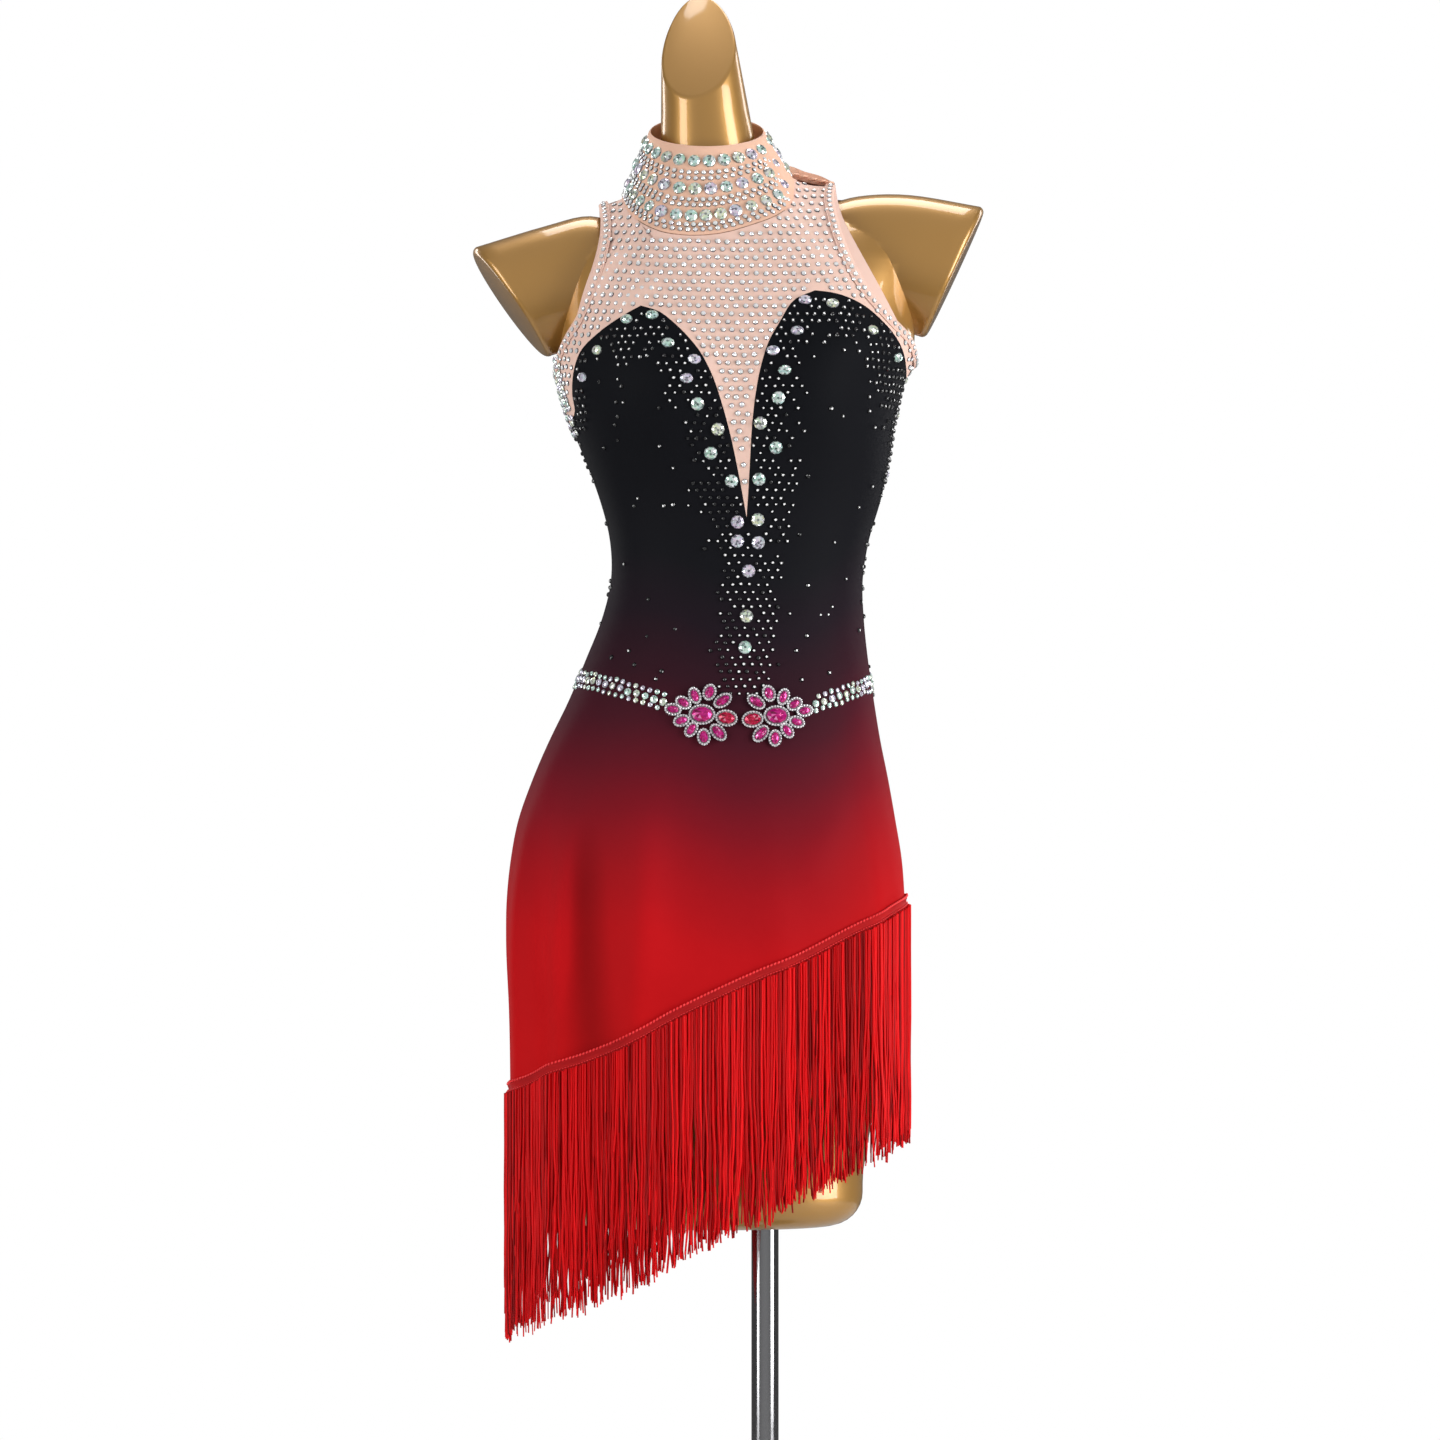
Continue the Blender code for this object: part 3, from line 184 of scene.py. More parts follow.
CUP_RIGHT_OUTER = spots_of(
    0.0410, 1.310, 0.0580, 1.308, 0.0830, 1.298, 0.0960, 1.288, 0.1070, 1.277, 0.1160, 1.263, 0.1200, 1.249,
    0.1215, 1.238,
)
ARMHOLE_LEFT = spots_of(
    -0.1800, 1.2475, -0.1780, 1.257, -0.1690, 1.2765, -0.1610, 1.288, -0.1500, 1.313, -0.1420, 1.339,
    -0.1390, 1.366, -0.1413, 1.384, -0.1425, 1.391,
)
SHOULDER_LEFT = spots_of(-0.1425, 1.391, -0.1230, 1.398)
NECK_FRONT = spots_of(
    -0.1230, 1.398, -0.1180, 1.3845, -0.1050, 1.370, -0.0910, 1.362, -0.0720, 1.358, -0.0530, 1.3575,
    -0.0340, 1.360, -0.0140, 1.366, 0.0010, 1.3715, 0.0110, 1.377, 0.0200, 1.3855, 0.0225, 1.401,
    0.0230, 1.416,
)
SHOULDER_RIGHT = spots_of(0.0230, 1.416, 0.0420, 1.411, 0.0605, 1.408)
ARMHOLE_RIGHT = spots_of(
    0.0605, 1.408, 0.0585, 1.398, 0.0610, 1.3735, 0.0710, 1.342, 0.0875, 1.312, 0.1075, 1.290,
    0.1245, 1.273, 0.1285, 1.264, 0.1310, 1.257,
)
HEM_FRONT = spots_of(
    -0.2200, 0.637, -0.1790, 0.660, -0.1470, 0.6725, -0.1165, 0.6857, -0.0820, 0.7053, -0.0430, 0.7246,
    -0.0045, 0.7420, 0.0310, 0.7567, 0.0680, 0.7753, 0.1010, 0.791, 0.1210, 0.800,
)
CUPS = (CUP_LEFT_OUTER, CUP_LEFT_INNER, CUP_RIGHT_INNER, CUP_RIGHT_OUTER)

# Edges of the back, from the wearer's left side (+X) to the other
BACK_EDGE = spots_of(
    0.1215, 1.238, 0.0950, 1.222, 0.0450, 1.190, 0.0000, 1.168, -0.0260, 1.162, -0.0550, 1.165,
    -0.1050, 1.180, -0.1500, 1.196, -0.1690, 1.201,
)
ARMHOLE_BACK_RIGHT = spots_of(
    0.1310, 1.257, 0.1275, 1.268, 0.1120, 1.291, 0.0900, 1.322, 0.0710, 1.362, 0.0605, 1.408,
)
NECK_BACK = spots_of(
    0.0230, 1.416, 0.0190, 1.4165, 0.0080, 1.422, -0.0150, 1.428, -0.0500, 1.430, -0.0780, 1.422,
    -0.1000, 1.4055, -0.1130, 1.3975, -0.1200, 1.3960, -0.1230, 1.398,
)
ARMHOLE_BACK_LEFT = spots_of(
    -0.1425, 1.391, -0.1430, 1.362, -0.1500, 1.325, -0.1630, 1.291, -0.1760, 1.262, -0.1800, 1.2475,
)
HEM_BACK = spots_of(
    0.1210, 0.800, 0.0600, 0.772, -0.0100, 0.740, -0.0900, 0.700, -0.1600, 0.665, -0.2200, 0.637,
)

# How many columns of the grid each stretch of an edge takes
FRONT_COLUMNS = (36, 36, 36, 36)
YOKE_TOP_COLUMNS = (32, 4, 68, 8, 32)
BACK_YOKE_TOP_COLUMNS = (28, 8, 32, 4, 28)
PANEL_CROWD = 1.25
YOKE_LEAN = 2.0
SHOULDER_CROWD_REACH = 0.020
CURVE_SAMPLES = 1200

# How far the form lies inside the cloth, sideways and in depth, by height
Inset = namedtuple("Inset", "z across deep")
FORM_INSET = table(Inset, 
    (0.560, 0.0360, 0.024), (0.620, 0.0260, 0.016), (0.700, 0.0140, 0.009), (0.780, 0.0060, 0.0055),
    (0.850, 0.0037, 0.0037), (1.180, 0.0037, 0.0037), (1.210, 0.0046, 0.0046), (1.290, 0.0048, 0.0048),
    (1.345, 0.0068, 0.0068), (1.380, 0.0112, 0.0112), (1.500, 0.0112, 0.0112),
)

# A slanted section of a shoulder stub: its top and its bottom seen from the front, half its depth, and how
# far its rear half leans to the side and drops, which turns the cut a little to the front
Slice = namedtuple("Slice", "top_x top_z bottom_x bottom_z deep lean drop")
STUB_LEFT = table(Slice, 
    (-0.1150, 1.372, -0.1050, 1.285, 0.036, 0.0, 0.0),
    (-0.1500, 1.383, -0.1300, 1.280, 0.042, -0.001, 0.0005),
    (-0.1900, 1.374, -0.1550, 1.272, 0.045, -0.0025, 0.0015),
    (-0.2490, 1.356, -0.1830, 1.264, 0.046, -0.005, 0.003),
)
STUB_RIGHT = table(Slice, 
    (0.0450, 1.390, 0.0500, 1.300, 0.036, 0.0, 0.0), (0.0800, 1.400, 0.0780, 1.298, 0.042, 0.0, 0.0),
    (0.1250, 1.401, 0.1080, 1.288, 0.046, 0.001, 0.0005),
    (0.1850, 1.391, 0.1330, 1.280, 0.047, 0.002, 0.001),
)
STUB_SIDES = 96
STUB_EDGE_ROUND = 0.005
STUB_ROUND_STEPS = (15, 30, 45, 60, 75, 90)

Ring = namedtuple("Ring", "z left right front back")
NECK = table(Ring, 
    (1.360, -0.0910, 0.0000, 0.040, 0.042), (1.430, -0.0900, -0.0055, 0.040, 0.042),
    (1.470, -0.0894, -0.0130, 0.040, 0.041), (1.510, -0.0892, -0.0205, 0.040, 0.041),
    (1.580, -0.0890, -0.0345, 0.040, 0.041), (1.600, -0.0889, -0.0385, 0.040, 0.041),
)
NECK_SIDES = 96

# The collar's upper rim
RIM_CENTRE_X = -0.0500
RIM_HALF_WIDTH = 0.0490
RIM_HALF_DEPTH = 0.0520
RIM_HEIGHT = 1.4565
RIM_SLOPE = 0.0205
COLLAR_FLARE = 0.30

# Belt path and brooches, as (x, z) seen from the front
BELT_RIGHT_SIDE = spots_of(0.0390, 0.9630, 0.0540, 0.9677, 0.0757, 0.9754, 0.0900, 0.9812, 0.0970, 0.9825)
BELT_LEFT_SIDE = spots_of(
    -0.1720, 0.9855, -0.1600, 0.9845, -0.1400, 0.9813, -0.1186, 0.9752, -0.0974, 0.9684, -0.0860, 0.9650,
)
BELT_BACK = spots_of(
    0.0970, 0.9825, 0.0915, 0.9830, 0.0500, 0.9960, -0.0350, 1.0020, -0.1150, 0.9970, -0.1620, 0.9860,
    -0.1720, 0.9855,
)
BROOCH_CENTRES = spots_of(-0.0537, 0.9545, 0.0082, 0.9535)

# Large stones along the cups and the V
STONES = spots_of(
    -0.1168, 1.2855, -0.0955, 1.2885, -0.1415, 1.2605, -0.1545, 1.2390, -0.0820, 1.2640, -0.0600, 1.2500,
    -0.0666, 1.2340, -0.0574, 1.2130, -0.0405, 1.1925, -0.0464, 1.1730, -0.0290, 1.1500, -0.0240, 1.1160,
    -0.0241, 1.1000, 0.0325, 1.3015, 0.0555, 1.2990, 0.0894, 1.2775, 0.1112, 1.2565, 0.0258, 1.2745,
    0.0055, 1.2575, 0.0152, 1.2410, 0.0100, 1.2180, -0.0050, 1.1975, 0.0080, 1.1775, -0.0062, 1.1515,
    -0.0070, 1.1180, -0.0066, 1.0988, -0.0147, 1.0750, -0.0165, 1.0370, -0.0178, 1.0108,
)

# Rows of the belt: offset from its line, pitch, radius and start
BELT_ROWS = ((0.0, 0.0084, 0.0034, 0.003), (0.0056, 0.0068, 0.0023, 0.006), (-0.0056, 0.0068, 0.0023, 0.003))

# Gems of a brooch: place from its centre, half length and half width
Gem = namedtuple("Gem", "u v reach wide")
PETALS = table(Gem, 
    (0.0, 0.0, 0.0090, 0.0066), (0.0204, -0.0030, 0.0072, 0.0050), (0.0172, 0.0116, 0.0064, 0.0034),
    (0.0062, 0.0186, 0.0052, 0.0036), (-0.0060, 0.0158, 0.0054, 0.0031), (-0.0154, 0.0098, 0.0052, 0.0032),
    (-0.0240, 0.0042, 0.0052, 0.0032), (-0.0170, -0.0052, 0.0050, 0.0031),
    (-0.0088, -0.0126, 0.0052, 0.0030), (0.0016, -0.0188, 0.0052, 0.0036),
    (0.0136, -0.0150, 0.0064, 0.0036),
)
RED_PETAL = 1
GEM_MARGIN = 0.0012
PLATE_MARGIN = 0.0009
BEAD_PITCH = 0.0021

# The line of dense black stones below the V, then the shoulder closure
CENTRE_LINE = spots_of(-0.0195, 0.960, -0.0175, 1.011, -0.0155, 1.075, -0.0135, 1.130)
BUTTONS = spots_of(0.0290, 1.4140, 0.0370, 1.4120, 0.0450, 1.4100)
BUTTON_RADIUS = 0.0036
LOOP_RADIUS = 0.0033
LOOP_CORD_RADIUS = 0.0008
LOOPS = spots_of(0.0255, 1.4190, 0.0330, 1.4172, 0.0410, 1.4150, 0.0490, 1.4132, 0.0555, 1.4120)
CLOSURE_BAND = spots_of(0.0120, 1.4270, 0.0220, 1.4265, 0.0340, 1.4220, 0.0480, 1.4180, 0.0600, 1.4120)

# Violet stones at the wearer's left side, as angle and height
SIDE_STONES = ((83.0, 1.2407), (84.0, 1.2114), (84.0, 1.1607))
SIDE_STONE_RADIUS = 0.0030

# Soft creases: ends seen from the front, bend, width and rise
Crease = namedtuple("Crease", "front x1 z1 x2 z2 bend width rise")
CREASES = table(Crease, 
    (True, -0.148, 1.300, -0.112, 1.352, 0.004, 0.0050, 0.0014),
    (True, -0.152, 1.318, -0.118, 1.368, 0.003, 0.0040, -0.0009),
    (True, -0.135, 1.296, -0.085, 1.322, -0.003, 0.0060, 0.0011),
    (True, 0.060, 1.325, 0.030, 1.375, 0.003, 0.0050, 0.0008),
    (True, -0.110, 0.990, -0.060, 1.045, 0.004, 0.0100, 0.0010),
    (True, 0.076, 1.010, 0.020, 1.055, -0.004, 0.0110, 0.0010),
    (True, -0.182, 0.940, -0.182, 0.690, 0.003, 0.0140, 0.0040),
    (True, -0.156, 0.885, -0.138, 0.610, -0.006, 0.0190, -0.0021),
    (True, -0.108, 0.900, -0.098, 0.700, 0.004, 0.0220, 0.0040),
    (True, 0.075, 0.905, 0.025, 0.800, 0.004, 0.0150, 0.0022),
    (False, 0.080, 1.030, -0.010, 1.060, 0.005, 0.0110, 0.0014),
    (False, -0.110, 1.010, -0.030, 1.045, -0.004, 0.0100, 0.0012),
    (False, -0.130, 0.900, -0.140, 0.720, 0.005, 0.0120, 0.0015),
    (False, 0.060, 0.920, 0.040, 0.800, -0.004, 0.0120, 0.0013),
    (False, -0.140, 1.300, -0.100, 1.350, 0.003, 0.0060, 0.0010),
)
# Painted shade and light of the creases: how much a hollow darkens the cloth's colour and a ridge lightens it,
# for each metre
CREASE_PAINTED_SHADE = 190.0
RIDGE_PAINTED_LIGHT = 25.0

# Painted light and shade as shifts of the dye by the place across: darker in the middle, redder towards the
# left side (from the middle, or from the middle to the left side)
PAINTED_LIGHT_DYE_SHIFTS = (("middle", 0.015, 0.100, 0.024, 0.0), ("side", 0.045, 0.125, 0.0, -0.034))

# The dye of the cloth: height, red, green and blue, as linear colour
OMBRE = (
    (0.700, 0.520, 0.0060, 0.0080), (0.790, 0.470, 0.0060, 0.0090), (0.840, 0.360, 0.0065, 0.0110),
    (0.890, 0.210, 0.0070, 0.0140), (0.930, 0.125, 0.0078, 0.0160), (0.970, 0.066, 0.0088, 0.0170),
    (1.010, 0.034, 0.0092, 0.0160), (1.060, 0.0150, 0.0090, 0.0140), (1.110, 0.0085, 0.0085, 0.0110),
    (1.300, 0.0060, 0.0066, 0.0085),
)

# Camera and lights
CAMERA_X = -0.0387
CAMERA_Z = 0.950
CAMERA_DISTANCE = 3.4
CAMERA_VIEW = 1.2384
WORLD_LIGHT = 0.50
WORLD_DARK = 0.12
BRIGHT_SIDE = (0.0, -0.86, 0.51)
LIGHT_AIM = (-0.03, 0.0, 1.0)
Light = namedtuple("Light", "name x y z width height power")
LIGHTS = table(Light, 
    ("key_left", -2.7, -1.5, 1.25, 1.1, 2.9, 54.0), ("key_right", 2.8, -1.4, 1.25, 1.5, 2.9, 105.0),
    ("top", 0.0, 0.7, 3.2, 1.4, 1.0, 22.0), ("rim_left", -1.8, 1.8, 1.6, 0.5, 2.0, 12.0),
    ("rim_right", 1.8, 1.8, 1.6, 0.5, 2.0, 12.0),
)

# Colours, and stops along a ramp: place, red, green and blue. Crystal has three families of facets, each
# ending in a dark one, which paints shade on the girdle and dark reflections on some facets and the middle
GOLD = (0.46, 0.240, 0.055)
CORD_REDS = ((0.0, 0.22, 0.001, 0.002), (0.45, 0.60, 0.001, 0.003), (1.0, 0.86, 0.005, 0.008))
CRYSTAL = (
    (0.00, 1.00, 1.00, 1.00), (0.08, 0.62, 0.90, 0.88), (0.16, 0.60, 0.92, 0.70), (0.24, 0.95, 0.98, 1.00),
    (0.29, 0.56, 0.66, 0.64), (0.32, 0.03, 0.09, 0.07), (0.35, 1.00, 0.97, 1.00), (0.43, 0.74, 0.70, 0.96),
    (0.50, 0.95, 0.74, 0.90), (0.57, 0.78, 0.92, 0.96), (0.62, 0.58, 0.56, 0.64), (0.65, 0.06, 0.06, 0.10),
    (0.68, 1.00, 1.00, 0.97), (0.76, 0.93, 0.96, 0.62), (0.84, 0.72, 0.94, 0.76), (0.90, 0.97, 0.93, 1.00),
    (0.95, 0.58, 0.61, 0.58), (0.99, 0.05, 0.07, 0.06),
)
# Small stones: the first stops paint a white highlight on the top, the last ones paint shade on the rim
PEARL_WITH_PAINTED_LIGHT = (
    (0.0, 1.0, 1.0, 1.0), (0.22, 0.80, 0.90, 0.92), (0.38, 0.92, 0.82, 0.95), (0.52, 0.98, 0.98, 0.88),
    (0.68, 0.66, 0.72, 0.72), (0.82, 0.40, 0.41, 0.43), (0.92, 0.09, 0.09, 0.10), (1.0, 0.04, 0.04, 0.05),
)
# Black stones: the top stops are white, a painted glint
JET_WITH_PAINTED_GLINT = (
    (0.0, 0.002, 0.002, 0.003), (0.80, 0.008, 0.008, 0.010), (0.88, 0.30, 0.30, 0.32),
    (0.93, 1.0, 1.0, 1.0), (1.0, 1.0, 1.0, 1.0),
)
SILVER = ((0.0, 0.22, 0.22, 0.23), (0.25, 0.60, 0.60, 0.62), (0.6, 0.88, 0.88, 0.90), (1.0, 1.0, 1.0, 1.0))
# Gems: the palest last stop is a painted highlight on the facets that take it
RUBY = (
    (0.0, 0.16, 0.001, 0.045), (0.30, 0.44, 0.002, 0.16), (0.55, 0.60, 0.004, 0.26),
    (0.80, 0.50, 0.004, 0.10), (0.94, 0.74, 0.05, 0.36), (1.0, 0.95, 0.50, 0.72),
)
RED_RUBY = (
    (0.0, 0.16, 0.001, 0.015), (0.35, 0.42, 0.002, 0.030), (0.65, 0.58, 0.004, 0.060),
    (0.93, 0.66, 0.03, 0.12), (1.0, 0.95, 0.45, 0.55),
)


# Curves through tables

def smooth(rows, key, column, at):
    """One column of a table as a smooth curve of another column."""
    keys = np.array([getattr(row, key) for row in rows])
    values = np.array([getattr(row, column) for row in rows])
    slopes = np.gradient(values, keys)
    at = np.clip(np.asarray(at, dtype=float), keys[0], keys[-1])
    i = np.clip(np.searchsorted(keys, at) - 1, 0, len(keys) - 2)
    step = keys[i + 1] - keys[i]
    t = (at - keys[i]) / step
    return ((2 * t ** 3 - 3 * t ** 2 + 1) * values[i] + (t ** 3 - 2 * t ** 2 + t) * step * slopes[i]
            + (3 * t ** 2 - 2 * t ** 3) * values[i + 1] + (t ** 3 - t ** 2) * step * slopes[i + 1])


def straight(rows, key, column, at):
    """One column of a table in straight runs of another column."""
    return np.interp(at, [getattr(row, key) for row in rows], [getattr(row, column) for row in rows])


def unit(vectors):
    """Vectors scaled to a length of one."""
    return vectors / np.maximum(np.linalg.norm(vectors, axis=-1, keepdims=True), 1e-12)


def points(x, y, z):
    """Places from their three coordinates."""
    return np.stack(np.broadcast_arrays(x, y, z), axis=-1)


def circle(sides):
    return np.linspace(0, 2 * math.pi, sides, endpoint=False)


def runs_of(places):
    """The distance run to each place of a line."""
    return np.concatenate([[0.0], np.cumsum(np.linalg.norm(np.diff(places, axis=0), axis=1))])


def between(at, keys, places, **how):
    """Places read off a line of places at some keys."""
    return np.stack([np.interp(at, keys, places[:, i], **how) for i in range(3)], axis=-1)


# The figure

def shoulder_height(x):
    return smooth(SHOULDER_LINE, "x", "z", x)


def half_span(z):
    left = smooth(FIGURE, "z", "left", z)
    right = smooth(FIGURE, "z", "right", z)
    return (left + right) / 2, (right - left) / 2


def figure_depth(x, z, front, across=0.0, deep=0.0):
    """Depth of the figure at a place seen from the front, less an inset sideways and in depth."""
    middle, half = half_span(z)
    u = np.clip((x - middle) / (half - across), -1, 1)
    square = smooth(FIGURE, "z", "square", z)
    flat = np.where(front, smooth(FIGURE, "z", "front", z), smooth(FIGURE, "z", "back", z)) - deep
    below = np.clip((shoulder_height(x) - deep - z) / SHOULDER_ROUND, 0, 1)
    over = np.sqrt(np.clip(1 - (1 - below) ** 2, 0, 1))
    depth = flat * (1 - np.abs(u) ** square) ** (1 / square)
    for centre in BUST_CENTRES:
        reach = ((x - centre) / BUST_SPREAD_ACROSS) ** 2 + ((z - BUST_HEIGHT) / BUST_SPREAD_UP) ** 2
        depth = depth + np.where(front, BUST_RISE * np.exp(-reach / 2) * (1 - u ** 4), 0.0)
    return depth * over


def fold_rise(angle, z):
    """How far the skirt's folds stand out at a place."""
    rise = np.zeros(np.broadcast(angle, z).shape)
    for fold in FOLDS:
        below = np.clip((fold.top - z) / (fold.top - FOLD_FULL_HEIGHT), 0, 1)
        off = (angle - fold.angle + fold.lean * below) / fold.width
        rise = rise + fold.rise * below ** 2 * (3 - 2 * below) * np.exp(-off ** 2)
    return rise


def on_figure(angle, z):
    """The clothed figure's outer surface at an angle and a height."""
    turn = np.radians(np.asarray(angle, dtype=float))
    z = np.asarray(z, dtype=float)
    front = np.cos(turn) >= 0
    middle, half = half_span(z)
    x = middle + half * np.sin(turn)
    depth = figure_depth(x, z, front)
    rise = fold_rise(angle, z)
    return points(x + rise * np.sin(turn), np.where(front, -depth, depth) - rise * np.cos(turn), z)


def outward(angle, z):
    """The direction straight out of the figure."""
    round_it = on_figure(angle + 0.5, z) - on_figure(angle - 0.5, z)
    return unit(np.cross(round_it, on_figure(angle, z + 0.0008) - on_figure(angle, z - 0.0008)))


def lifted(angle, z, lift):
    """Places on the figure, moved out by a distance."""
    return on_figure(angle, z) + outward(angle, z) * np.asarray(lift)[..., None]


def angle_of(x, z, front):
    middle, half = half_span(z)
    turn = np.degrees(np.arcsin(np.clip((x - middle) / half, -1, 1)))
    return turn if front else 180.0 - turn


def along(spots, columns, front):
    """Places evenly spaced on the cloth along the smooth curve through some spots, as x and z."""
    spots = np.array(spots)
    steps = table(Step, *np.column_stack([runs_of(spots), spots]))
    at = np.linspace(0.0, steps[-1].s, CURVE_SAMPLES)
    x, z = smooth(steps, "s", "x", at), smooth(steps, "s", "z", at)
    runs = runs_of(on_figure(angle_of(x, z, front), z))
    even = np.linspace(0.0, runs[-1], columns + 1)
    return np.interp(even, runs, x), np.interp(even, runs, z)


def edge(stretches, columns, front):
    """An edge of a panel from its stretches, as angles and heights, one for each column."""
    angles, heights = [], []
    for stretch, count in zip(stretches, columns):
        x, z = along(stretch, count, front)
        first = 1 if angles else 0
        angles.extend(angle_of(x, z, front)[first:])
        heights.extend(z[first:])
    angles = np.array(angles)
    angles[0], angles[-1] = SIDE_ANGLES[front]
    return angles, np.array(heights)


def moved_edge(angles, heights, distance):
    """An edge moved up the figure by a distance square to its own run, and further at a sharp corner."""
    places = on_figure(angles, heights)
    steps = unit(np.diff(places, axis=0))
    opening = np.ones(len(places))
    opening[1:-1] = np.sqrt(np.clip((1 + np.sum(steps[1:] * steps[:-1], axis=-1)) / 2, 0.05, 1))
    distance = distance / opening
    side = unit(np.cross(outward(angles, heights), np.gradient(places, axis=0)))
    round_it = on_figure(angles + 0.5, heights) - on_figure(angles - 0.5, heights)
    turn = np.sum(side * round_it, axis=-1) / np.sum(round_it ** 2, axis=-1)
    turn[[0, -1]] = 0.0
    return angles + turn * distance, heights + side[:, 2] * distance


def panel_grid(lower, upper, rows, crowd=1.0, lean=1.0):
    """Angles and heights between two edges. Rows crowd together where the upper edge tops a shoulder.

    A lean over 1 lets the columns leave the lower edge upright before they turn to the upper one.
    """
    middle, half = half_span(upper[1])
    x = middle + half * np.sin(np.radians(upper[0]))
    near_top = np.exp(-((shoulder_height(x) - upper[1]) / SHOULDER_CROWD_REACH) ** 2)
    t = 1 - (1 - np.linspace(0, 1, rows + 1)[:, None]) ** (crowd + near_top)
    return lower[0] + (upper[0] - lower[0]) * t ** lean, lower[1] + (upper[1] - lower[1]) * t


def kept_on_its_side(places, front):
    """Places that reach the side seam or the shoulder seam stop just short of it."""
    side = -1 if front else 1
    places[..., 1] = side * np.maximum(side * places[..., 1], SEAM_GAP / 2)
    return places


def neck_seam():
    """Places of the neck seam all round, with their angles about the collar's centre."""
    halves = []
    for stretch, count, front in ((NECK_FRONT, YOKE_TOP_COLUMNS[2], True),
                                  (NECK_BACK, BACK_YOKE_TOP_COLUMNS[2], False)):
        x, z = along(stretch, count, front)
        halves.append(on_figure(angle_of(x, z, front), z))
    places = np.concatenate([halves[0], halves[1][1:-1]])
    turns = np.degrees(np.arctan2(places[:, 0] - RIM_CENTRE_X, -places[:, 1])) % 360
    order = np.argsort(turns)
    return turns[order], places[order]


def collar_place(turn, t, lift):
    """A place on the collar at a turn round the neck and a share of its height, moved out."""
    base = between(turn % 360, *neck_seam(), period=360)
    angle = np.radians(turn)
    rim = points(RIM_CENTRE_X + RIM_HALF_WIDTH * np.sin(angle), -RIM_HALF_DEPTH * np.cos(angle),
                 RIM_HEIGHT - RIM_SLOPE * np.cos(angle))
    base = base + unit(rim - base) * COLLAR_SEAM_GAP
    out = unit(points(np.sin(angle), -np.cos(angle), COLLAR_FLARE))
    return base + (rim - base) * np.asarray(t)[..., None] + out * np.asarray(lift)[..., None]


def form_ring(z, extra=0.0):
    """A level ring of the form, inside the figure, under the line of the shoulders."""
    across = straight(FORM_INSET, "z", "across", z) + extra
    deep = straight(FORM_INSET, "z", "deep", z) + extra
    x_line = np.linspace(SHOULDER_LINE[0].x, SHOULDER_LINE[-1].x, 400)
    z_line = shoulder_height(x_line)
    peak = int(np.argmax(z_line))
    middle, half = half_span(z)
    left = max(middle - half + across, np.interp(z + deep, z_line[:peak + 1], x_line[:peak + 1]))
    right = min(middle + half - across, np.interp(-(z + deep), -z_line[peak:], x_line[peak:]))
    turns = circle(FORM_SIDES) - math.pi
    x = (left + right) / 2 + (right - left) / 2 * np.sin(turns)
    front = np.cos(turns) >= 0
    depth = figure_depth(x, np.full(x.shape, z), front, across, deep)
    return points(x, np.where(front, -depth, depth), z)


def stub_rings(slices):
    """Slanted oval sections of a shoulder, from inside the torso to the flat cut and its rounded edge."""
    turns = circle(STUB_SIDES)[:, None]
    rings = []
    for cut in slices:
        middle = np.array([(cut.top_x + cut.bottom_x) / 2, 0.0, (cut.top_z + cut.bottom_z) / 2])
        long_half = np.array([cut.top_x - cut.bottom_x, 0.0, cut.top_z - cut.bottom_z]) / 2
        deep_half = np.array([cut.lean, cut.deep, -cut.drop])
        rings.append(middle + np.cos(turns) * long_half + np.sin(turns) * deep_half)
    out = unit(np.cross(long_half, deep_half))
    out = out * np.sign(out[0] * middle[0])
    last = rings[-1]
    for step in STUB_ROUND_STEPS:
        turn = math.radians(step)
        inward = unit(last - middle) * (1 - math.cos(turn))
        rings.append(last + STUB_EDGE_ROUND * (out * math.sin(turn) - inward))
    return rings


def neck_oval(z):
    left, right, front, back = (smooth(NECK, "z", side, z) for side in ("left", "right", "front", "back"))
    turns = circle(NECK_SIDES) - math.pi
    return points((left + right) / 2 + (right - left) / 2 * np.sin(turns),
                  np.where(np.cos(turns) >= 0, -front, back) * np.abs(np.cos(turns)), z)


def neck_rings():
    """Level ovals of the neck, and a last one that lies in the slanted cut."""
    middle = (NECK[3].left + NECK[3].right) / 2
    cut = neck_oval(NECK_CUT_HEIGHT)
    for _ in range(20):
        cut = neck_oval(cut[:, 2])
        cut[:, 2] = NECK_CUT_HEIGHT + NECK_CUT_ACROSS * (cut[:, 0] - middle) + NECK_CUT_BACK * cut[:, 1]
    return [neck_oval(row.z) for row in NECK[:3]] + [cut]


# Meshes

def grid_quads(rows, columns):
    first = (np.arange(rows)[:, None] * (columns + 1) + np.arange(columns)).ravel()
    return np.stack([first, first + 1, first + columns + 2, first + columns + 1], axis=-1)


def tube_quads(levels, sides):
    """Faces of a tube through rings of places."""
    low = np.arange(sides) + sides * np.arange(levels - 1)[:, None]
    high = np.roll(low, -1, axis=1)
    return np.stack([low, high, high + sides, low + sides], axis=-1).reshape(-1, 4)


def linked(name, places, faces, material):
    """A mesh object in the scene."""
    mesh = bpy.data.meshes.new(name)
    mesh.from_pydata(np.asarray(places, dtype=float).reshape(-1, 3).tolist(), [], faces)
    mesh.materials.append(material)
    made = bpy.data.objects.new(name, mesh)
    bpy.context.scene.collection.objects.link(made)
    return made


def piece(name, places, faces, material, smooth_faces=True, tint=None):
    """A mesh object that rides on the part."""
    made = linked(name, places, np.asarray(faces).tolist(), material)
    made.data.validate()
    if smooth_faces:
        made.data.shade_smooth()
    if tint is not None:
        made.data.attributes.new("tint", "FLOAT", "FACE").data.foreach_set("value", tint.astype(np.float32))
    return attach(made, "root")


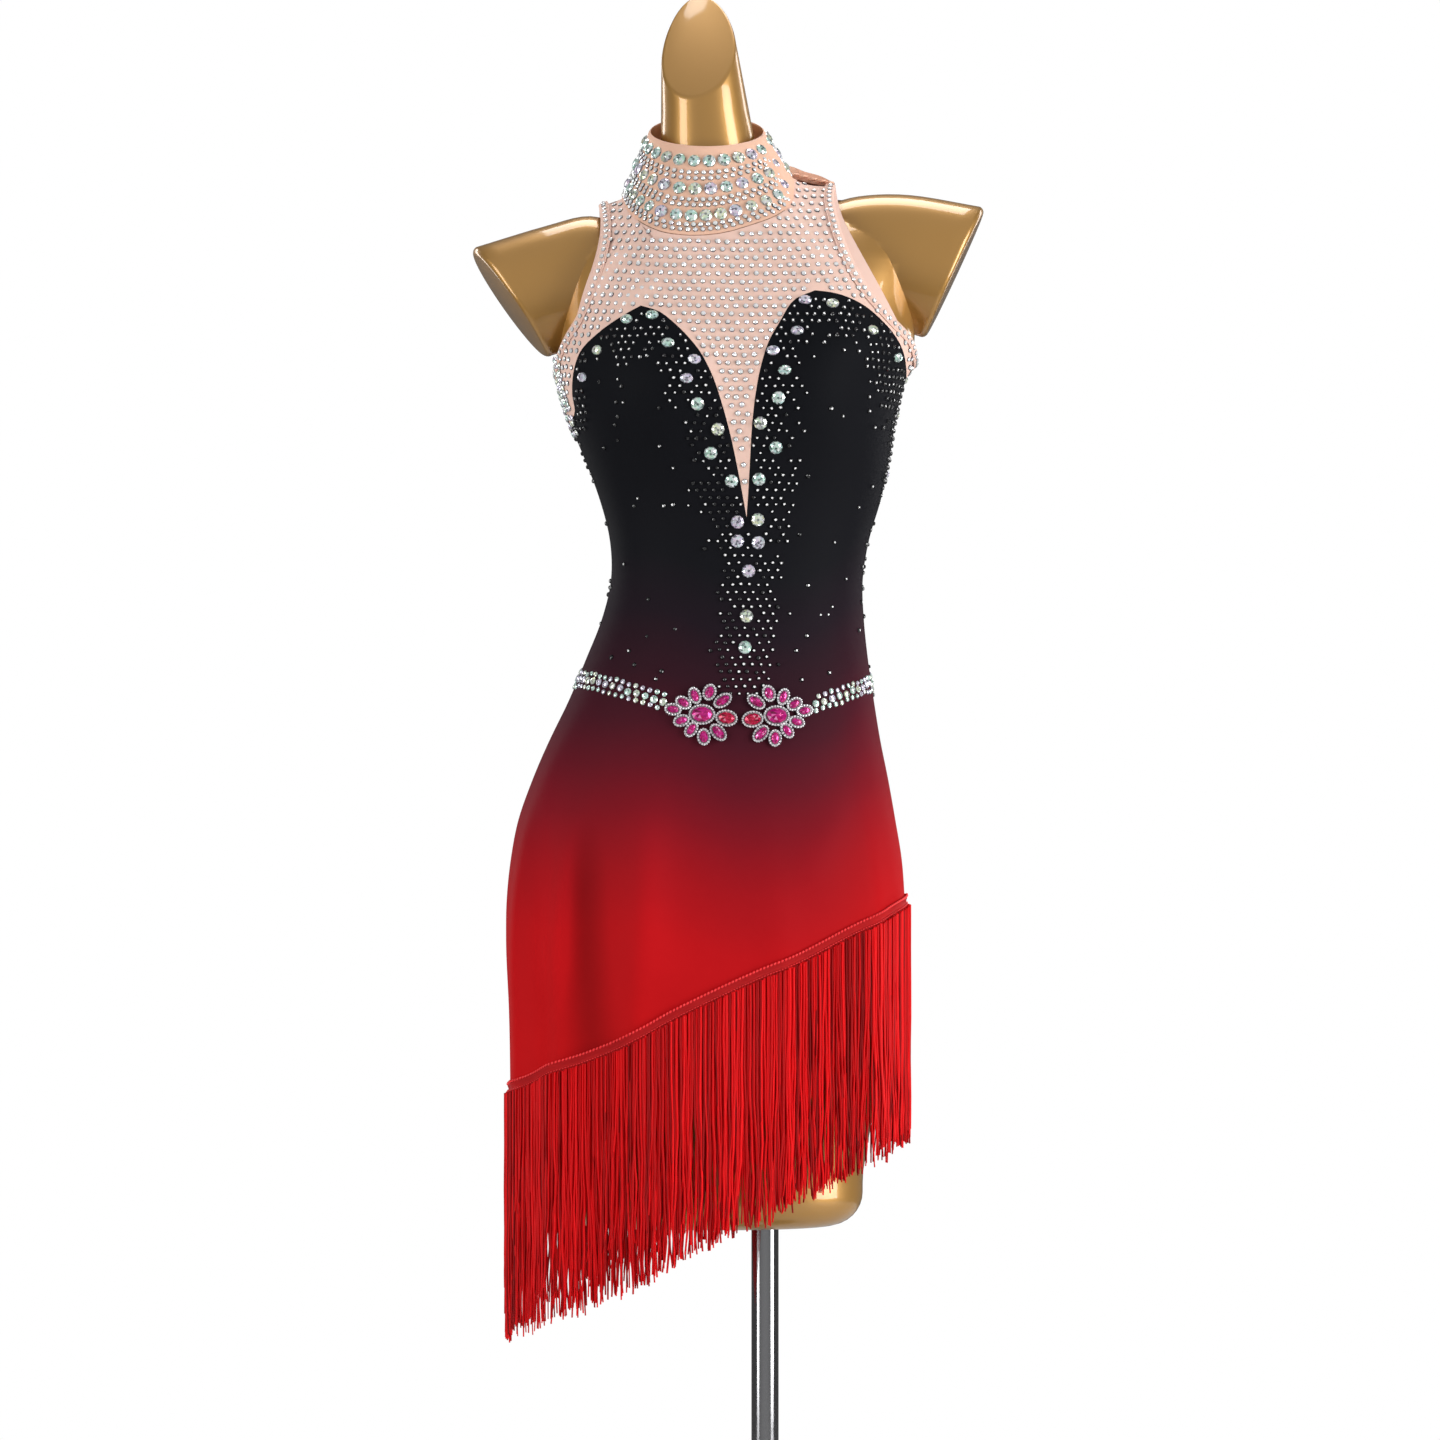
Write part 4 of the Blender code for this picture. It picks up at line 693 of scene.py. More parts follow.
def shell(name, outer, inner, material):
    """A thin closed sheet of cloth between two grids of places."""
    outer, inner = np.array(outer), np.array(inner)
    rows, columns = outer.shape[0] - 1, outer.shape[1] - 1
    count = (rows + 1) * (columns + 1)
    index = np.arange(count).reshape(rows + 1, columns + 1)
    rim = np.concatenate([index[0, :-1], index[:-1, -1], index[-1, :0:-1], index[:0:-1, 0]])
    after = np.roll(rim, -1)
    quads = grid_quads(rows, columns)
    sides = np.stack([after, rim, rim + count, after + count], axis=-1)
    made = piece(name, np.concatenate([outer.reshape(-1, 3), inner.reshape(-1, 3)]),
                 np.concatenate([quads, quads[:, ::-1] + count, sides]), material)
    made.data.set_sharp_from_angle(angle=math.radians(60))
    return made


def loft(name, rings, material, sharp=35):
    """A closed body through rings of places, with flat ends."""
    sides = len(rings[0])
    low = np.arange(sides)
    ends = [low[::-1].tolist(), (low + (len(rings) - 1) * sides).tolist()]
    made = linked(name, np.concatenate(rings), tube_quads(len(rings), sides).tolist() + ends, material)
    made.data.shade_smooth()
    made.data.set_sharp_from_angle(angle=math.radians(sharp))
    return made


# Materials

def fill(made, *inputs, **values):
    """Sets a node's own settings, then its sockets by order or by name, each to a value or a link."""
    sockets = dict(enumerate(inputs))
    for key, value in values.items():
        if hasattr(made, key):
            setattr(made, key, value)
        else:
            sockets[key.replace("_", " ")] = value
    for key, value in sockets.items():
        if isinstance(value, bpy.types.NodeSocket):
            made.id_data.links.new(value, made.inputs[key])
        else:
            made.inputs[key].default_value = value


def node(tree, kind, *inputs, **values):
    made = tree.nodes.new("ShaderNode" + kind)
    fill(made, *inputs, **values)
    return made


def new_material(name, colour, roughness, metallic=0.0):
    material = bpy.data.materials.new(name)
    material.use_nodes = True
    shader = material.node_tree.nodes["Principled BSDF"]
    fill(shader, Base_Color=(*colour, 1.0), Roughness=roughness, Metallic=metallic)
    return material, material.node_tree, shader


def ramp(tree, stops, place):
    """Colours along a ramp of stops: place, red, green and blue."""
    made = node(tree, "ValToRGB", Fac=place)
    elements = made.color_ramp.elements
    while len(elements) < len(stops):
        elements.new(0.5)
    for element, (position, *colour) in zip(elements, stops):
        element.position = position
        element.color = (*colour, 1.0)
    return made.outputs["Color"]


def object_places(tree):
    return tree.nodes.new("ShaderNodeTexCoord").outputs["Object"]


def noise(tree, scale, detail):
    return node(tree, "TexNoise", Vector=object_places(tree), Scale=scale, Detail=detail).outputs["Fac"]


def calculated(tree, operation, *inputs):
    return node(tree, "Math", *inputs, operation=operation).outputs[0]


def add_bump(tree, shader, height, strength, distance):
    bump = node(tree, "Bump", Strength=strength, Distance=distance, Height=height)
    fill(shader, Normal=bump.outputs["Normal"])


def knit_height(tree, scale):
    """A fine knit: two crossed rows of small waves with a little noise."""
    across, up = (node(tree, "TexWave", bands_direction=direction, Vector=object_places(tree), Scale=scale,
                       Distortion=1.2, Detail=1.0).outputs["Fac"] for direction in ("X", "Z"))
    return calculated(tree, "ADD", calculated(tree, "ADD", across, up), noise(tree, scale * 1.7, 3.0))


def soft_cloud(tree, scale, low, high, detail=3.0):
    """Wide soft variation between two values."""
    return node(tree, "MapRange", Value=noise(tree, scale, detail), To_Min=low, To_Max=high).outputs["Result"]


def times(tree, colour, factor):
    """A colour darkened or lightened by a factor."""
    return node(tree, "VectorMath", colour, Scale=factor, operation="SCALE").outputs[0]


def clouded(tree, shader, colour, scale, low, high):
    """Gives a shader its colour, a little lighter and darker from place to place."""
    base = node(tree, "RGB")
    base.outputs[0].default_value = (*colour, 1.0)
    fill(shader, Base_Color=times(tree, base.outputs[0], soft_cloud(tree, scale, low, high)))


def ombre_cloth():
    """Stretch cloth dyed from black through wine to red, by height, with painted light across it and painted
    shade in its creases.
    """
    material, tree, shader = new_material("ombre_stretch_cloth", (0.1, 0.01, 0.01), 0.62)
    x, _, z = node(tree, "SeparateXYZ", object_places(tree)).outputs
    level = calculated(tree, "MULTIPLY_ADD", noise(tree, 5.0, 2.0), 0.030, z)
    aside = calculated(tree, "ABSOLUTE", x)
    # Painted light and shade: the dye is shifted darker in the middle and redder on the wearer's left side, as
    # the side lamps would light it
    for source, low, high, at_low, at_high in PAINTED_LIGHT_DYE_SHIFTS:
        shift = node(tree, "MapRange", Value=x if source == "side" else aside, From_Min=low, From_Max=high,
                     To_Min=at_low, To_Max=at_high, interpolation_type="SMOOTHSTEP")
        level = calculated(tree, "ADD", level, shift.outputs["Result"])
    span = OMBRE[-1][0] - OMBRE[0][0]
    place = node(tree, "MapRange", Value=level, From_Min=OMBRE[0][0], From_Max=OMBRE[-1][0])
    stops = [((height - OMBRE[0][0]) / span, *colour) for height, *colour in OMBRE]
    dye = ramp(tree, stops, place.outputs["Result"])
    # Painted shade and light: the dye is darkened in the creases' hollows and lightened on their ridges, by the
    # fold attribute
    fold = node(tree, "Attribute", attribute_name="fold")
    dye_with_painted_crease_shade = times(tree, dye, fold.outputs["Fac"])
    fill(shader, Base_Color=times(tree, dye_with_painted_crease_shade, soft_cloud(tree, 9.0, 0.88, 1.10)), Specular_IOR_Level=0.04)
    add_bump(tree, shader, knit_height(tree, 420.0), 0.10, 0.0003)
    return material


def mesh_cloth(name, colour, roughness, bump, scale):
    material, tree, shader = new_material(name, colour, roughness)
    clouded(tree, shader, colour, 26.0, 0.90, 1.08)
    fill(shader, Specular_IOR_Level=0.25, Sheen_Weight=0.05, Subsurface_Weight=0.04,
         Subsurface_Radius=(0.004, 0.002, 0.001))
    add_bump(tree, shader, knit_height(tree, scale), bump, 0.0003)
    return material


def fringe_cord():
    """Glossy red cord, a little lighter and darker from strand to strand, with a twist along it."""
    material, tree, shader = new_material("red_fringe_cord", (0.5, 0.003, 0.006), 0.42)
    island = tree.nodes.new("ShaderNodeNewGeometry").outputs["Random Per Island"]
    twist = node(tree, "TexWave", bands_direction="DIAGONAL", Vector=object_places(tree), Scale=300.0,
                 Distortion=0.5)
    fill(shader, Base_Color=ramp(tree, CORD_REDS, island), Specular_IOR_Level=0.14)
    add_bump(tree, shader, twist.outputs["Fac"], 0.35, 0.0004)
    return material


def woven_tape():
    """Deep red woven tape with fine cross ribs."""
    material, tree, shader = new_material("header_tape", TAPE_RED, 0.6)
    clouded(tree, shader, TAPE_RED, 60.0, 0.8, 1.2)
    fill(shader, Specular_IOR_Level=0.2)
    add_bump(tree, shader, knit_height(tree, 700.0), 0.4, 0.0004)
    return material


def faceted(name, stops, roughness, metallic, coat=0.0):
    """Cut stones whose facets each take their own colour from a ramp."""
    material, tree, shader = new_material(name, stops[0][1:], roughness, metallic)
    tint = node(tree, "Attribute", attribute_name="tint")
    fill(shader, Base_Color=ramp(tree, stops, tint.outputs["Fac"]))
    if coat:
        fill(shader, Coat_Weight=coat, Coat_Roughness=0.03)
    return material


def gold_gloss():
    material, tree, shader = new_material("gold_gloss_paint", GOLD, 0.36, 0.50)
    clouded(tree, shader, GOLD, 7.0, 0.93, 1.07)
    fill(shader, Coat_Weight=0.9, Coat_Roughness=0.05)
    add_bump(tree, shader, noise(tree, 900.0, 2.0), 0.015, 0.0004)
    return material


def dark_chrome():
    material, tree, shader = new_material("dark_chrome", (0.30, 0.30, 0.31), 0.12, 1.0)
    fill(shader, Roughness=soft_cloud(tree, 240.0, 0.09, 0.17, 2.0))
    return material


# Cut stones

def cut_stone(sides, rings):
    """A unit stone: rings of radius, height and turn in half steps, closed by a point at the top."""
    places, faces = [], []
    for radius, height, turn in rings[:-1]:
        turns = (np.arange(sides) + turn / 2) * 2 * math.pi / sides
        places.append(points(radius * np.cos(turns), radius * np.sin(turns), height))
    low = np.arange(sides)
    high = np.roll(low, -1)
    last = (len(rings) - 2) * sides
    for base in range(0, last, sides):
        faces.append(np.stack([low, high, low + sides], axis=-1) + base)
        faces.append(np.stack([high, high + sides, low + sides], axis=-1) + base)
    faces.append(np.stack([low + last, high + last, np.full(sides, last + sides)], axis=-1))
    return Cut(np.concatenate([*places, [[0.0, 0.0, rings[-1][1]]]]), np.concatenate(faces), sides)


SMALL_CUT = cut_stone(6, ((1.0, -0.20, 0), (0.84, 0.18, 0), (0.46, 0.50, 1), (0.0, 0.56, 0)))
JET_CUT = cut_stone(8, ((1.0, -0.20, 0), (0.92, 0.20, 0), (0.66, 0.50, 0), (0.42, 0.60, 0), (0.0, 0.66, 0)))
LARGE_CUT = cut_stone(10, ((1.0, -0.10, 0), (0.93, 0.12, 0), (0.62, 0.38, 1), (0.20, 0.48, 0), (0.0, 0.49, 0)))
BALL = cut_stone(6, ((0.5, -0.45, 0), (0.95, -0.1, 1), (0.95, 0.3, 0), (0.55, 0.75, 1), (0.0, 0.9, 0)))


def crystal_tints(rng, cut, count):
    """Each stone keeps to one family of the ramp: a girdle painted dark as shade, mixed facets with some
    painted dark as reflections, and a middle painted dark as a reflection.
    """
    family = rng.choice([0.0, 0.33, 0.66], count, p=(0.42, 0.30, 0.28))[:, None]
    tints = rng.uniform(0.0, 0.27, (count, len(cut.faces)))
    tints = np.where(rng.uniform(0, 1, tints.shape) < 0.13, 0.31, tints)
    tints[:, :2 * cut.sides] = rng.uniform(0.26, 0.32, (count, 2 * cut.sides))
    tints[:, -cut.sides:] = rng.uniform(0.30, 0.325, (count, cut.sides))
    return (family + tints).ravel()


def pearl_tints(rng, cut, count):
    """Small stones: a top painted white as a highlight, silvery facets and a foiled rim painted dark as shade.
    """
    tints = rng.uniform(0.0, 0.70, (count, len(cut.faces)))
    tints[:, :2 * cut.sides] = rng.uniform(0.84, 1.0, (count, 2 * cut.sides))
    tints[:, -cut.sides:] = rng.uniform(0.0, 0.12, (count, cut.sides))
    return tints.ravel()


def jet_tints(rng, cut, count, painted_glint_share):
    """Black domes, on a share of them the flat top painted white as a glint."""
    tints = rng.uniform(0.0, 0.78, (count, len(cut.faces)))
    painted_glint = np.where(rng.uniform(0, 1, count) < painted_glint_share, rng.uniform(0.92, 1.0, count),
                     rng.uniform(0.3, 0.82, count))
    tints[:, -cut.sides:] = painted_glint[:, None]
    return tints.ravel()


def mixed_tints(rng, cut, count):
    return rng.uniform(0, 1, count * len(cut.faces))


def stones(name, cut, places, outs, radii, material, aspects=1.0, spins=None, seed=1, height=1.0,
           tints=crystal_tints):
    """Many stones as one mesh, each standing on its place."""
    rng = np.random.default_rng(seed)
    places, outs = np.asarray(places), np.asarray(outs)
    count = len(places)
    radii = np.broadcast_to(radii, count)[:, None, None]
    aspects = np.broadcast_to(aspects, count)[:, None, None]
    spins = rng.uniform(0, 2 * math.pi, count) if spins is None else np.broadcast_to(spins, count)
    across = unit(np.cross((0.0, 0.0, 1.0), outs))
    turn_across = across * np.cos(spins)[:, None] + np.cross(outs, across) * np.sin(spins)[:, None]
    turn_up = np.cross(outs, turn_across)
    unit_places = cut.shape[None]
    placed = (places[:, None] + radii * (unit_places[..., :1] * turn_across[:, None]
                                         + aspects * unit_places[..., 1:2] * turn_up[:, None]
                                         + height * unit_places[..., 2:] * outs[:, None]))
    faces = cut.faces[None] + (np.arange(count) * len(cut.shape))[:, None, None]
    return piece(name, placed, faces.reshape(-1, 3), material, False, tints(rng, cut, count))


def on_cloth(name, cut, angles, heights, lift, radii, material, **more):
    """Stones that stand on the figure."""
    return stones(name, cut, lifted(angles, heights, lift), outward(angles, heights), radii, material, **more)


# Places for the small stones

def inside(polygon, x, z):
    """Which points lie in a closed polygon."""
    px, pz = polygon
    qx, qz = np.roll(px, -1), np.roll(pz, -1)
    crosses = (pz[None] > z[:, None]) != (qz[None] > z[:, None])
    rise = np.where(np.abs(qz - pz) < 1e-12, 1e-12, qz - pz)
    at = px[None] + (z[:, None] - pz[None]) / rise[None] * (qx - px)[None]
    return (np.sum(crosses & (x[:, None] < at), axis=1) % 2) == 1


def gap_to(curve, x, z):
    """The least distance to a curve of points, seen from the front."""
    return np.sqrt(np.min((x[:, None] - curve[0][None]) ** 2 + (z[:, None] - curve[1][None]) ** 2, axis=1))


def curve_of(stretches, count, front):
    return np.concatenate([along(stretch, count, front) for stretch in stretches], axis=1)


def stone_rows(low, high, pitch, row_pitch, front, arch):
    """Staggered rows of places on the cloth, as angles and heights."""
    found = []
    sweep = np.linspace(*SIDE_ANGLES[front], 721)
    for row, level in enumerate(np.arange(low, high, row_pitch)):
        heights = level + arch * (1 - np.abs(np.cos(np.radians(sweep))) ** 1.5)
        runs = runs_of(on_figure(sweep, heights))
        middle = np.interp(sum(SIDE_ANGLES[front]) / 2, sweep, runs)
        at = np.arange((middle + (row % 2) * pitch / 2) % pitch, runs[-1], pitch)
        found.append((np.interp(at, runs, sweep), np.interp(at, runs, heights)))
    return np.concatenate(found, axis=1)


def yoke_stones(name, front, material, seed):
    if front:
        top = (ARMHOLE_RIGHT, SHOULDER_RIGHT, NECK_FRONT, SHOULDER_LEFT, ARMHOLE_LEFT)
        edges = CUPS + tuple(stretch[::-1] for stretch in top)
    else:
        edges = (BACK_EDGE, ARMHOLE_BACK_LEFT[::-1], SHOULDER_LEFT, NECK_BACK[::-1], SHOULDER_RIGHT,
                 ARMHOLE_BACK_RIGHT[::-1])
    outline = curve_of(edges, 80, front)
    angles, heights = stone_rows(1.10 if front else 1.16, 1.43, YOKE_STONE_PITCH, YOKE_ROW_PITCH, front, 0.012)
    x, _, z = on_figure(angles, heights).T
    keep = inside(outline, x, z) & (gap_to(outline, x, z) > YOKE_STONE_RADIUS * 1.1)
    keep &= shoulder_height(x) - z > 0.0015
    rng = np.random.default_rng(seed)
    count = np.sum(keep)
    heights = heights[keep] + rng.uniform(-0.0005, 0.0005, count)
    angles = angles[keep] + rng.uniform(-0.25, 0.25, count)
    radii = YOKE_STONE_RADIUS * rng.uniform(0.92, 1.08, count)
    made = on_cloth(name, SMALL_CUT, angles, heights, 0.0004, radii, material, seed=seed, tints=pearl_tints)


def jet_stones(material):
    """The black stones: dense along the cups and the V, sparse below, and a band down the left side."""
    rng = np.random.default_rng(5)
    angles, heights = stone_rows(0.972, 1.318, JET_PITCH, JET_ROW_PITCH, True, 0.0)
    x, _, z = on_figure(angles, heights).T
    cups = curve_of(CUPS, 120, True)
    corners = [[0.30, 0.30, -0.30, -0.30], [1.23, 0.90, 0.90, 1.20]]
    to_edge = gap_to(cups, x, z)
    centre = np.interp(z, [spot.z for spot in CENTRE_LINE], [spot.x for spot in CENTRE_LINE])
    to_centre = np.where(z < 1.13, np.abs(x - centre), 1.0)
    fade_edge = np.clip(1.9 - 1.5 * to_edge / JET_BAND, 0, 1)
    fade_centre = np.clip(2.0 - 1.4 * to_centre / JET_CENTRE_REACH, 0, 1)
    fade_edge = fade_edge * np.where((x < -0.128) & (z < 1.262) & (to_edge > 0.012), 0.12, 1.0)
    side = np.select([z > 1.245, z > 1.15, z > 1.05], [0.0, 1.0, 0.25], 0.06)
    side = side * np.clip((angles - 74.0) / 6.0, 0, 1)
    hip = np.select([z > 1.235, z > 1.19, z > 1.05], [0.0, 0.8, 0.22], 0.06)
    hip = hip * np.clip((-78.0 - angles) / 5.0, 0, 1)
    chance = np.maximum.reduce([fade_edge, fade_centre, side, hip, np.full(len(x), JET_SPARSE)])
    keep = inside(np.concatenate([cups, corners], axis=1), x, z) & (to_edge > 0.0022)
    keep &= rng.uniform(0, 1, len(x)) < chance
    for spot in STONES:
        keep &= np.hypot(x - spot.x, z - spot.z) > LARGE_STONE_RADIUS + JET_RADIUS
    angles = angles[keep] + rng.uniform(-0.3, 0.3, np.sum(keep))
    heights = heights[keep] + rng.uniform(-0.0006, 0.0006, np.sum(keep))
    x, _, z = on_figure(angles, heights).T
    # Painted glints: the share of stones whose tops are painted white, fewest on the left where the light from
    # the right falls least
    painted_glint_share = np.select([x < -0.125, x > 0.095, (x < -0.030) & (z < 1.215), x < -0.030],
                       [0.10, 0.30, 0.40, 0.75], 0.85)
    on_cloth("jet_stones", JET_CUT, angles, heights, 0.0002, JET_RADIUS * rng.uniform(0.85, 1.15, len(angles)),
             material, seed=6, height=1.15, tints=lambda rng, cut, count: jet_tints(rng, cut, count, painted_glint_share))


def side_crystals(material):
    """Three stones down the wearer's left side, and a crowd of crystals where the right armhole ends."""
    rng = np.random.default_rng(17)
    crowd = np.array(np.meshgrid(np.arange(-89.0, -74.0, 3.4), np.arange(1.196, 1.262, 0.0062)))
    shift = rng.uniform(-0.5, 0.5, crowd.shape) * np.array([1.6, 0.003])[:, None, None]
    angles, heights = np.concatenate([np.transpose(SIDE_STONES), (crowd + shift).reshape(2, -1)], axis=1)
    radii = np.full(len(angles), SIDE_STONE_RADIUS * 0.85)
    radii[:len(SIDE_STONES)] = SIDE_STONE_RADIUS
    made = on_cloth("side_crystals", LARGE_CUT, angles, heights, 0.0012, radii, material, seed=18)


def large_stones(material):
    x, heights = np.array(STONES).T
    made = on_cloth("large_stones", LARGE_CUT, angle_of(x, heights, True), heights, 0.0008, LARGE_STONE_RADIUS,
                    material, aspects=np.where(heights > 1.225, 0.76, 1.0),
                    spins=np.radians(np.linspace(-8, 8, len(STONES))), seed=3)
    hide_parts(*[f"cup_stone_{number + 1}" for number in range(len(STONES))])


def collar_stones(clear, pearl):
    places, outs, sizes = [], [], []
    rng = np.random.default_rng(9)
    lap = 360.0 - COLLAR_LAP_ANGLE * 0.4
    for row in COLLAR_STONE_ROWS:
        around = 2 * math.pi * (RIM_HALF_WIDTH + 0.030 * (1 - row.share))
        count = int(around / row.pitch)
        turns = COLLAR_START + COLLAR_LAP_ANGLE + (np.arange(count) + 0.5 * row.stagger) / count * lap
        spots = collar_place(turns, row.share, 0.0006)
        turned = collar_place(turns + 1.0, row.share, 0.0006) - spots
        risen = collar_place(turns, row.share + 0.02, 0.0006) - spots
        places.append(spots)
        outs.append(unit(np.cross(turned, risen)))
        sizes.append(row.radius * rng.uniform(0.95, 1.05, count))
    places, outs, sizes = np.concatenate(places), np.concatenate(outs), np.concatenate(sizes)
    for name, cut, chosen, material, seed, tints in (
            ("collar_large_stones", LARGE_CUT, sizes > 0.004, clear, 11, crystal_tints),
            ("collar_small_stones", SMALL_CUT, sizes <= 0.004, pearl, 12, pearl_tints)):
        stones(name, cut, places[chosen], outs[chosen], sizes[chosen], material, seed=seed, tints=tints)


def binding_path(front_edge, back_edge, offset, count):
    """Places along an armhole's strip, up the front and down the back."""
    up, down = along(front_edge, count, True), along(back_edge, count, False)
    angles = np.concatenate([angle_of(*up, True), angle_of(*down, False)[1:]])
    heights = np.concatenate([up[1], down[1][1:]])
    places = on_figure(angles, heights)
    out = outward(angles, heights)
    return places + unit(np.cross(out, np.gradient(places, axis=0))) * offset, out


def bindings(cloth_material, stone_material):
    for name, front_edge, back_edge, inward in (
            ("binding_left", ARMHOLE_LEFT, ARMHOLE_BACK_LEFT, -1),
            ("binding_right", ARMHOLE_RIGHT[::-1], ARMHOLE_BACK_RIGHT[::-1], 1)):
        outer, inner = [], []
        for share, lift in BINDING_PROFILE:
            places, out = binding_path(front_edge, back_edge, inward * BINDING_WIDTH * share, 60)
            outer.append((places + out * lift)[::inward])
            inner.append((places + out * (lift - 0.0009))[::inward])
        strip = shell(name, outer, inner, cloth_material)
        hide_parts(name)
        places, out = binding_path(front_edge, back_edge, inward * BINDING_WIDTH * 0.5, 200)
        runs = runs_of(places)
        at = np.arange(0.003, runs[-1], 0.0068)
        outs = unit(between(at, runs, out))
        row = stones(f"{name}_stones", SMALL_CUT, between(at, runs, places) + outs * 0.0018, outs,
                     YOKE_STONE_RADIUS, stone_material, tints=pearl_tints)


# Cloth

def creased(angles, heights, front):
    """How far soft creases lift or lower the cloth."""
    places = on_figure(angles, heights)
    x, z = places[..., 0], places[..., 2]
    rise = np.zeros(x.shape)
    for crease in CREASES:
        if crease.front != front:
            continue
        run_x, run_z = crease.x2 - crease.x1, crease.z2 - crease.z1
        length = math.hypot(run_x, run_z)
        t = ((x - crease.x1) * run_x + (z - crease.z1) * run_z) / length ** 2
        off = ((x - crease.x1) * run_z - (z - crease.z1) * run_x) / length + crease.bend * np.sin(math.pi * t)
        ends = np.clip(t / 0.3, 0, 1) * np.clip((1 - t) / 0.3, 0, 1)
        rise = rise + crease.rise * np.exp(-(off / crease.width) ** 2) * ends ** 2 * (3 - 2 * ends)
    return rise


def cloth_sheet(name, grid, front, material):
    """A panel of cloth between a grid of places and the same grid moved in, with painted shade in its creases
    and painted light on its ridges.
    """
    rise = creased(*grid, front) * np.clip(np.abs(np.cos(np.radians(grid[0]))) / 0.2, 0, 1)
    made = shell(name, kept_on_its_side(lifted(*grid, rise), front),
                 kept_on_its_side(lifted(*grid, rise - WALL), front), material)
    # Painted shade and light: each place's colour factor, darker in a hollow and lighter on a ridge, kept as
    # the fold attribute
    shade = np.clip(1 + CREASE_PAINTED_SHADE * np.minimum(rise, 0) + RIDGE_PAINTED_LIGHT * np.maximum(rise, 0), 0.5, 1.15)
    values = np.ones(len(made.data.vertices))
    values[:2 * rise.size] = np.tile(shade.ravel(), 2)
    made.data.attributes.new("fold", "FLOAT", "POINT").data.foreach_set("value", values)
    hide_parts(name)
    return made


def area_of(grid):
    places = on_figure(*grid)
    a = places[1:, 1:] - places[:-1, :-1]
    b = places[1:, :-1] - places[:-1, 1:]
    return float(np.sum(np.linalg.norm(np.cross(a, b), axis=-1)) / 2)


def hem_of_cloth(hem, columns, front):
    angles, heights = edge((hem,), (columns,), front)
    return angles, heights - CLOTH_UNDER_TAPE


def all_cloth(nude):
    """The dyed panels and the nude yokes."""
    ombre = ombre_cloth()
    back_columns = sum(BACK_YOKE_TOP_COLUMNS)
    cups = edge(CUPS, FRONT_COLUMNS, True)
    top = edge((ARMHOLE_LEFT, SHOULDER_LEFT, NECK_FRONT, SHOULDER_RIGHT, ARMHOLE_RIGHT), YOKE_TOP_COLUMNS, True)
    low = edge((BACK_EDGE,), (back_columns,), False)
    back_top = edge((ARMHOLE_BACK_RIGHT, SHOULDER_RIGHT[::-1], NECK_BACK, SHOULDER_LEFT[::-1],
                     ARMHOLE_BACK_LEFT), BACK_YOKE_TOP_COLUMNS, False)
    front = panel_grid(hem_of_cloth(HEM_FRONT, sum(FRONT_COLUMNS), True), cups, 110, PANEL_CROWD)
    back = panel_grid(hem_of_cloth(HEM_BACK, back_columns, False), low, 90, PANEL_CROWD)
    front_yoke = panel_grid(moved_edge(*cups, SEAM_GAP / 4), top, 56, lean=YOKE_LEAN)
    back_yoke = panel_grid((low[0], low[1] + SEAM_GAP / 4), back_top, 44)
    for name, grid, is_front, material, slot_name, flat in (
            ("front_panel", front, True, ombre, "stretch_cloth", (0.46, 0.70)),
            ("back_panel", back, False, ombre, "stretch_cloth", (0.46, 0.60)),
            ("front_yoke", front_yoke, True, nude, "nude_mesh", (0.38, 0.30)),
            ("back_yoke", back_yoke, False, nude, "nude_mesh", (0.38, 0.27))):
        made = cloth_sheet(name, grid, is_front, material)
        whole = flat[0] * flat[1]
        max(min(area_of(grid), whole), 0.31 * whole)


def collar(band):
    turns = COLLAR_START + np.linspace(0, 360 + COLLAR_LAP_ANGLE, 241)
    lap = COLLAR_LAP_RISE * np.clip((turns - turns[-1] + 2 * COLLAR_LAP_ANGLE) / COLLAR_LAP_ANGLE, 0, 1)
    outer, inner = [], []
    for t in np.linspace(0, 1, 41):
        hem = 0.0005 * np.clip((t - 0.90) / 0.02, 0, 1) + 0.0004 * np.clip((0.04 - t) / 0.02, 0, 1)
        roll = 0.0006 * np.clip((t - 0.97) / 0.03, 0, 1) ** 2
        outer.append(collar_place(turns, t, lap + hem - roll))
        inner.append(collar_place(turns, t, lap - WALL + roll))
    made = shell("collar", outer, inner, band)
    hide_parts("collar")


def closure_band(band):
    """The stitched edge of the back, which stands up behind the loops of the shoulder closure."""
    x = np.linspace(CLOSURE_BAND[0].x, CLOSURE_BAND[-1].x, 60)
    foot = shoulder_height(x) - 0.004
    rise = smooth(CLOSURE_BAND, "x", "z", x) - foot
    outer, inner = [], []
    for share, stand_off in ((0.0, 0.0050), (0.5, 0.0038), (0.88, 0.0028), (1.0, 0.0022)):
        outer.append(points(x, stand_off, foot + rise * share))
        inner.append(points(x, stand_off + WALL, foot + rise * share))
    made = shell("closure_band", outer, inner, band)


def closure(band):
    """Cloth balls in their loops along the wearer's left shoulder."""
    places = np.array([[spot.x, 0.0, spot.z + BUTTON_RADIUS + 0.0007] for spot in BUTTONS])
    outs = np.tile([0.0, 0.0, 1.0], (len(places), 1))
    balls = stones("button_balls", BALL, places, outs, BUTTON_RADIUS, band, seed=2)
    balls.data.shade_smooth()
    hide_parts("button_1", "button_2", "button_3")
    sides, tube_sides = 18, 6
    around, tube = circle(sides)[:, None], circle(tube_sides)
    cord = LOOP_CORD_RADIUS * np.cos(tube)
    ring = points((LOOP_RADIUS + cord) * np.cos(around), (LOOP_RADIUS * 1.25 + cord) * np.sin(around),
                  LOOP_CORD_RADIUS * np.sin(tube)).reshape(-1, 3)
    quads = tube_quads(sides + 1, tube_sides)[:, [0, 3, 2, 1]] % len(ring)
    loops = piece("button_loops", [ring + (spot.x, -0.0005, spot.z) for spot in LOOPS],
                  np.concatenate([quads + number * len(ring) for number in range(len(LOOPS))]), band)


# Fringe

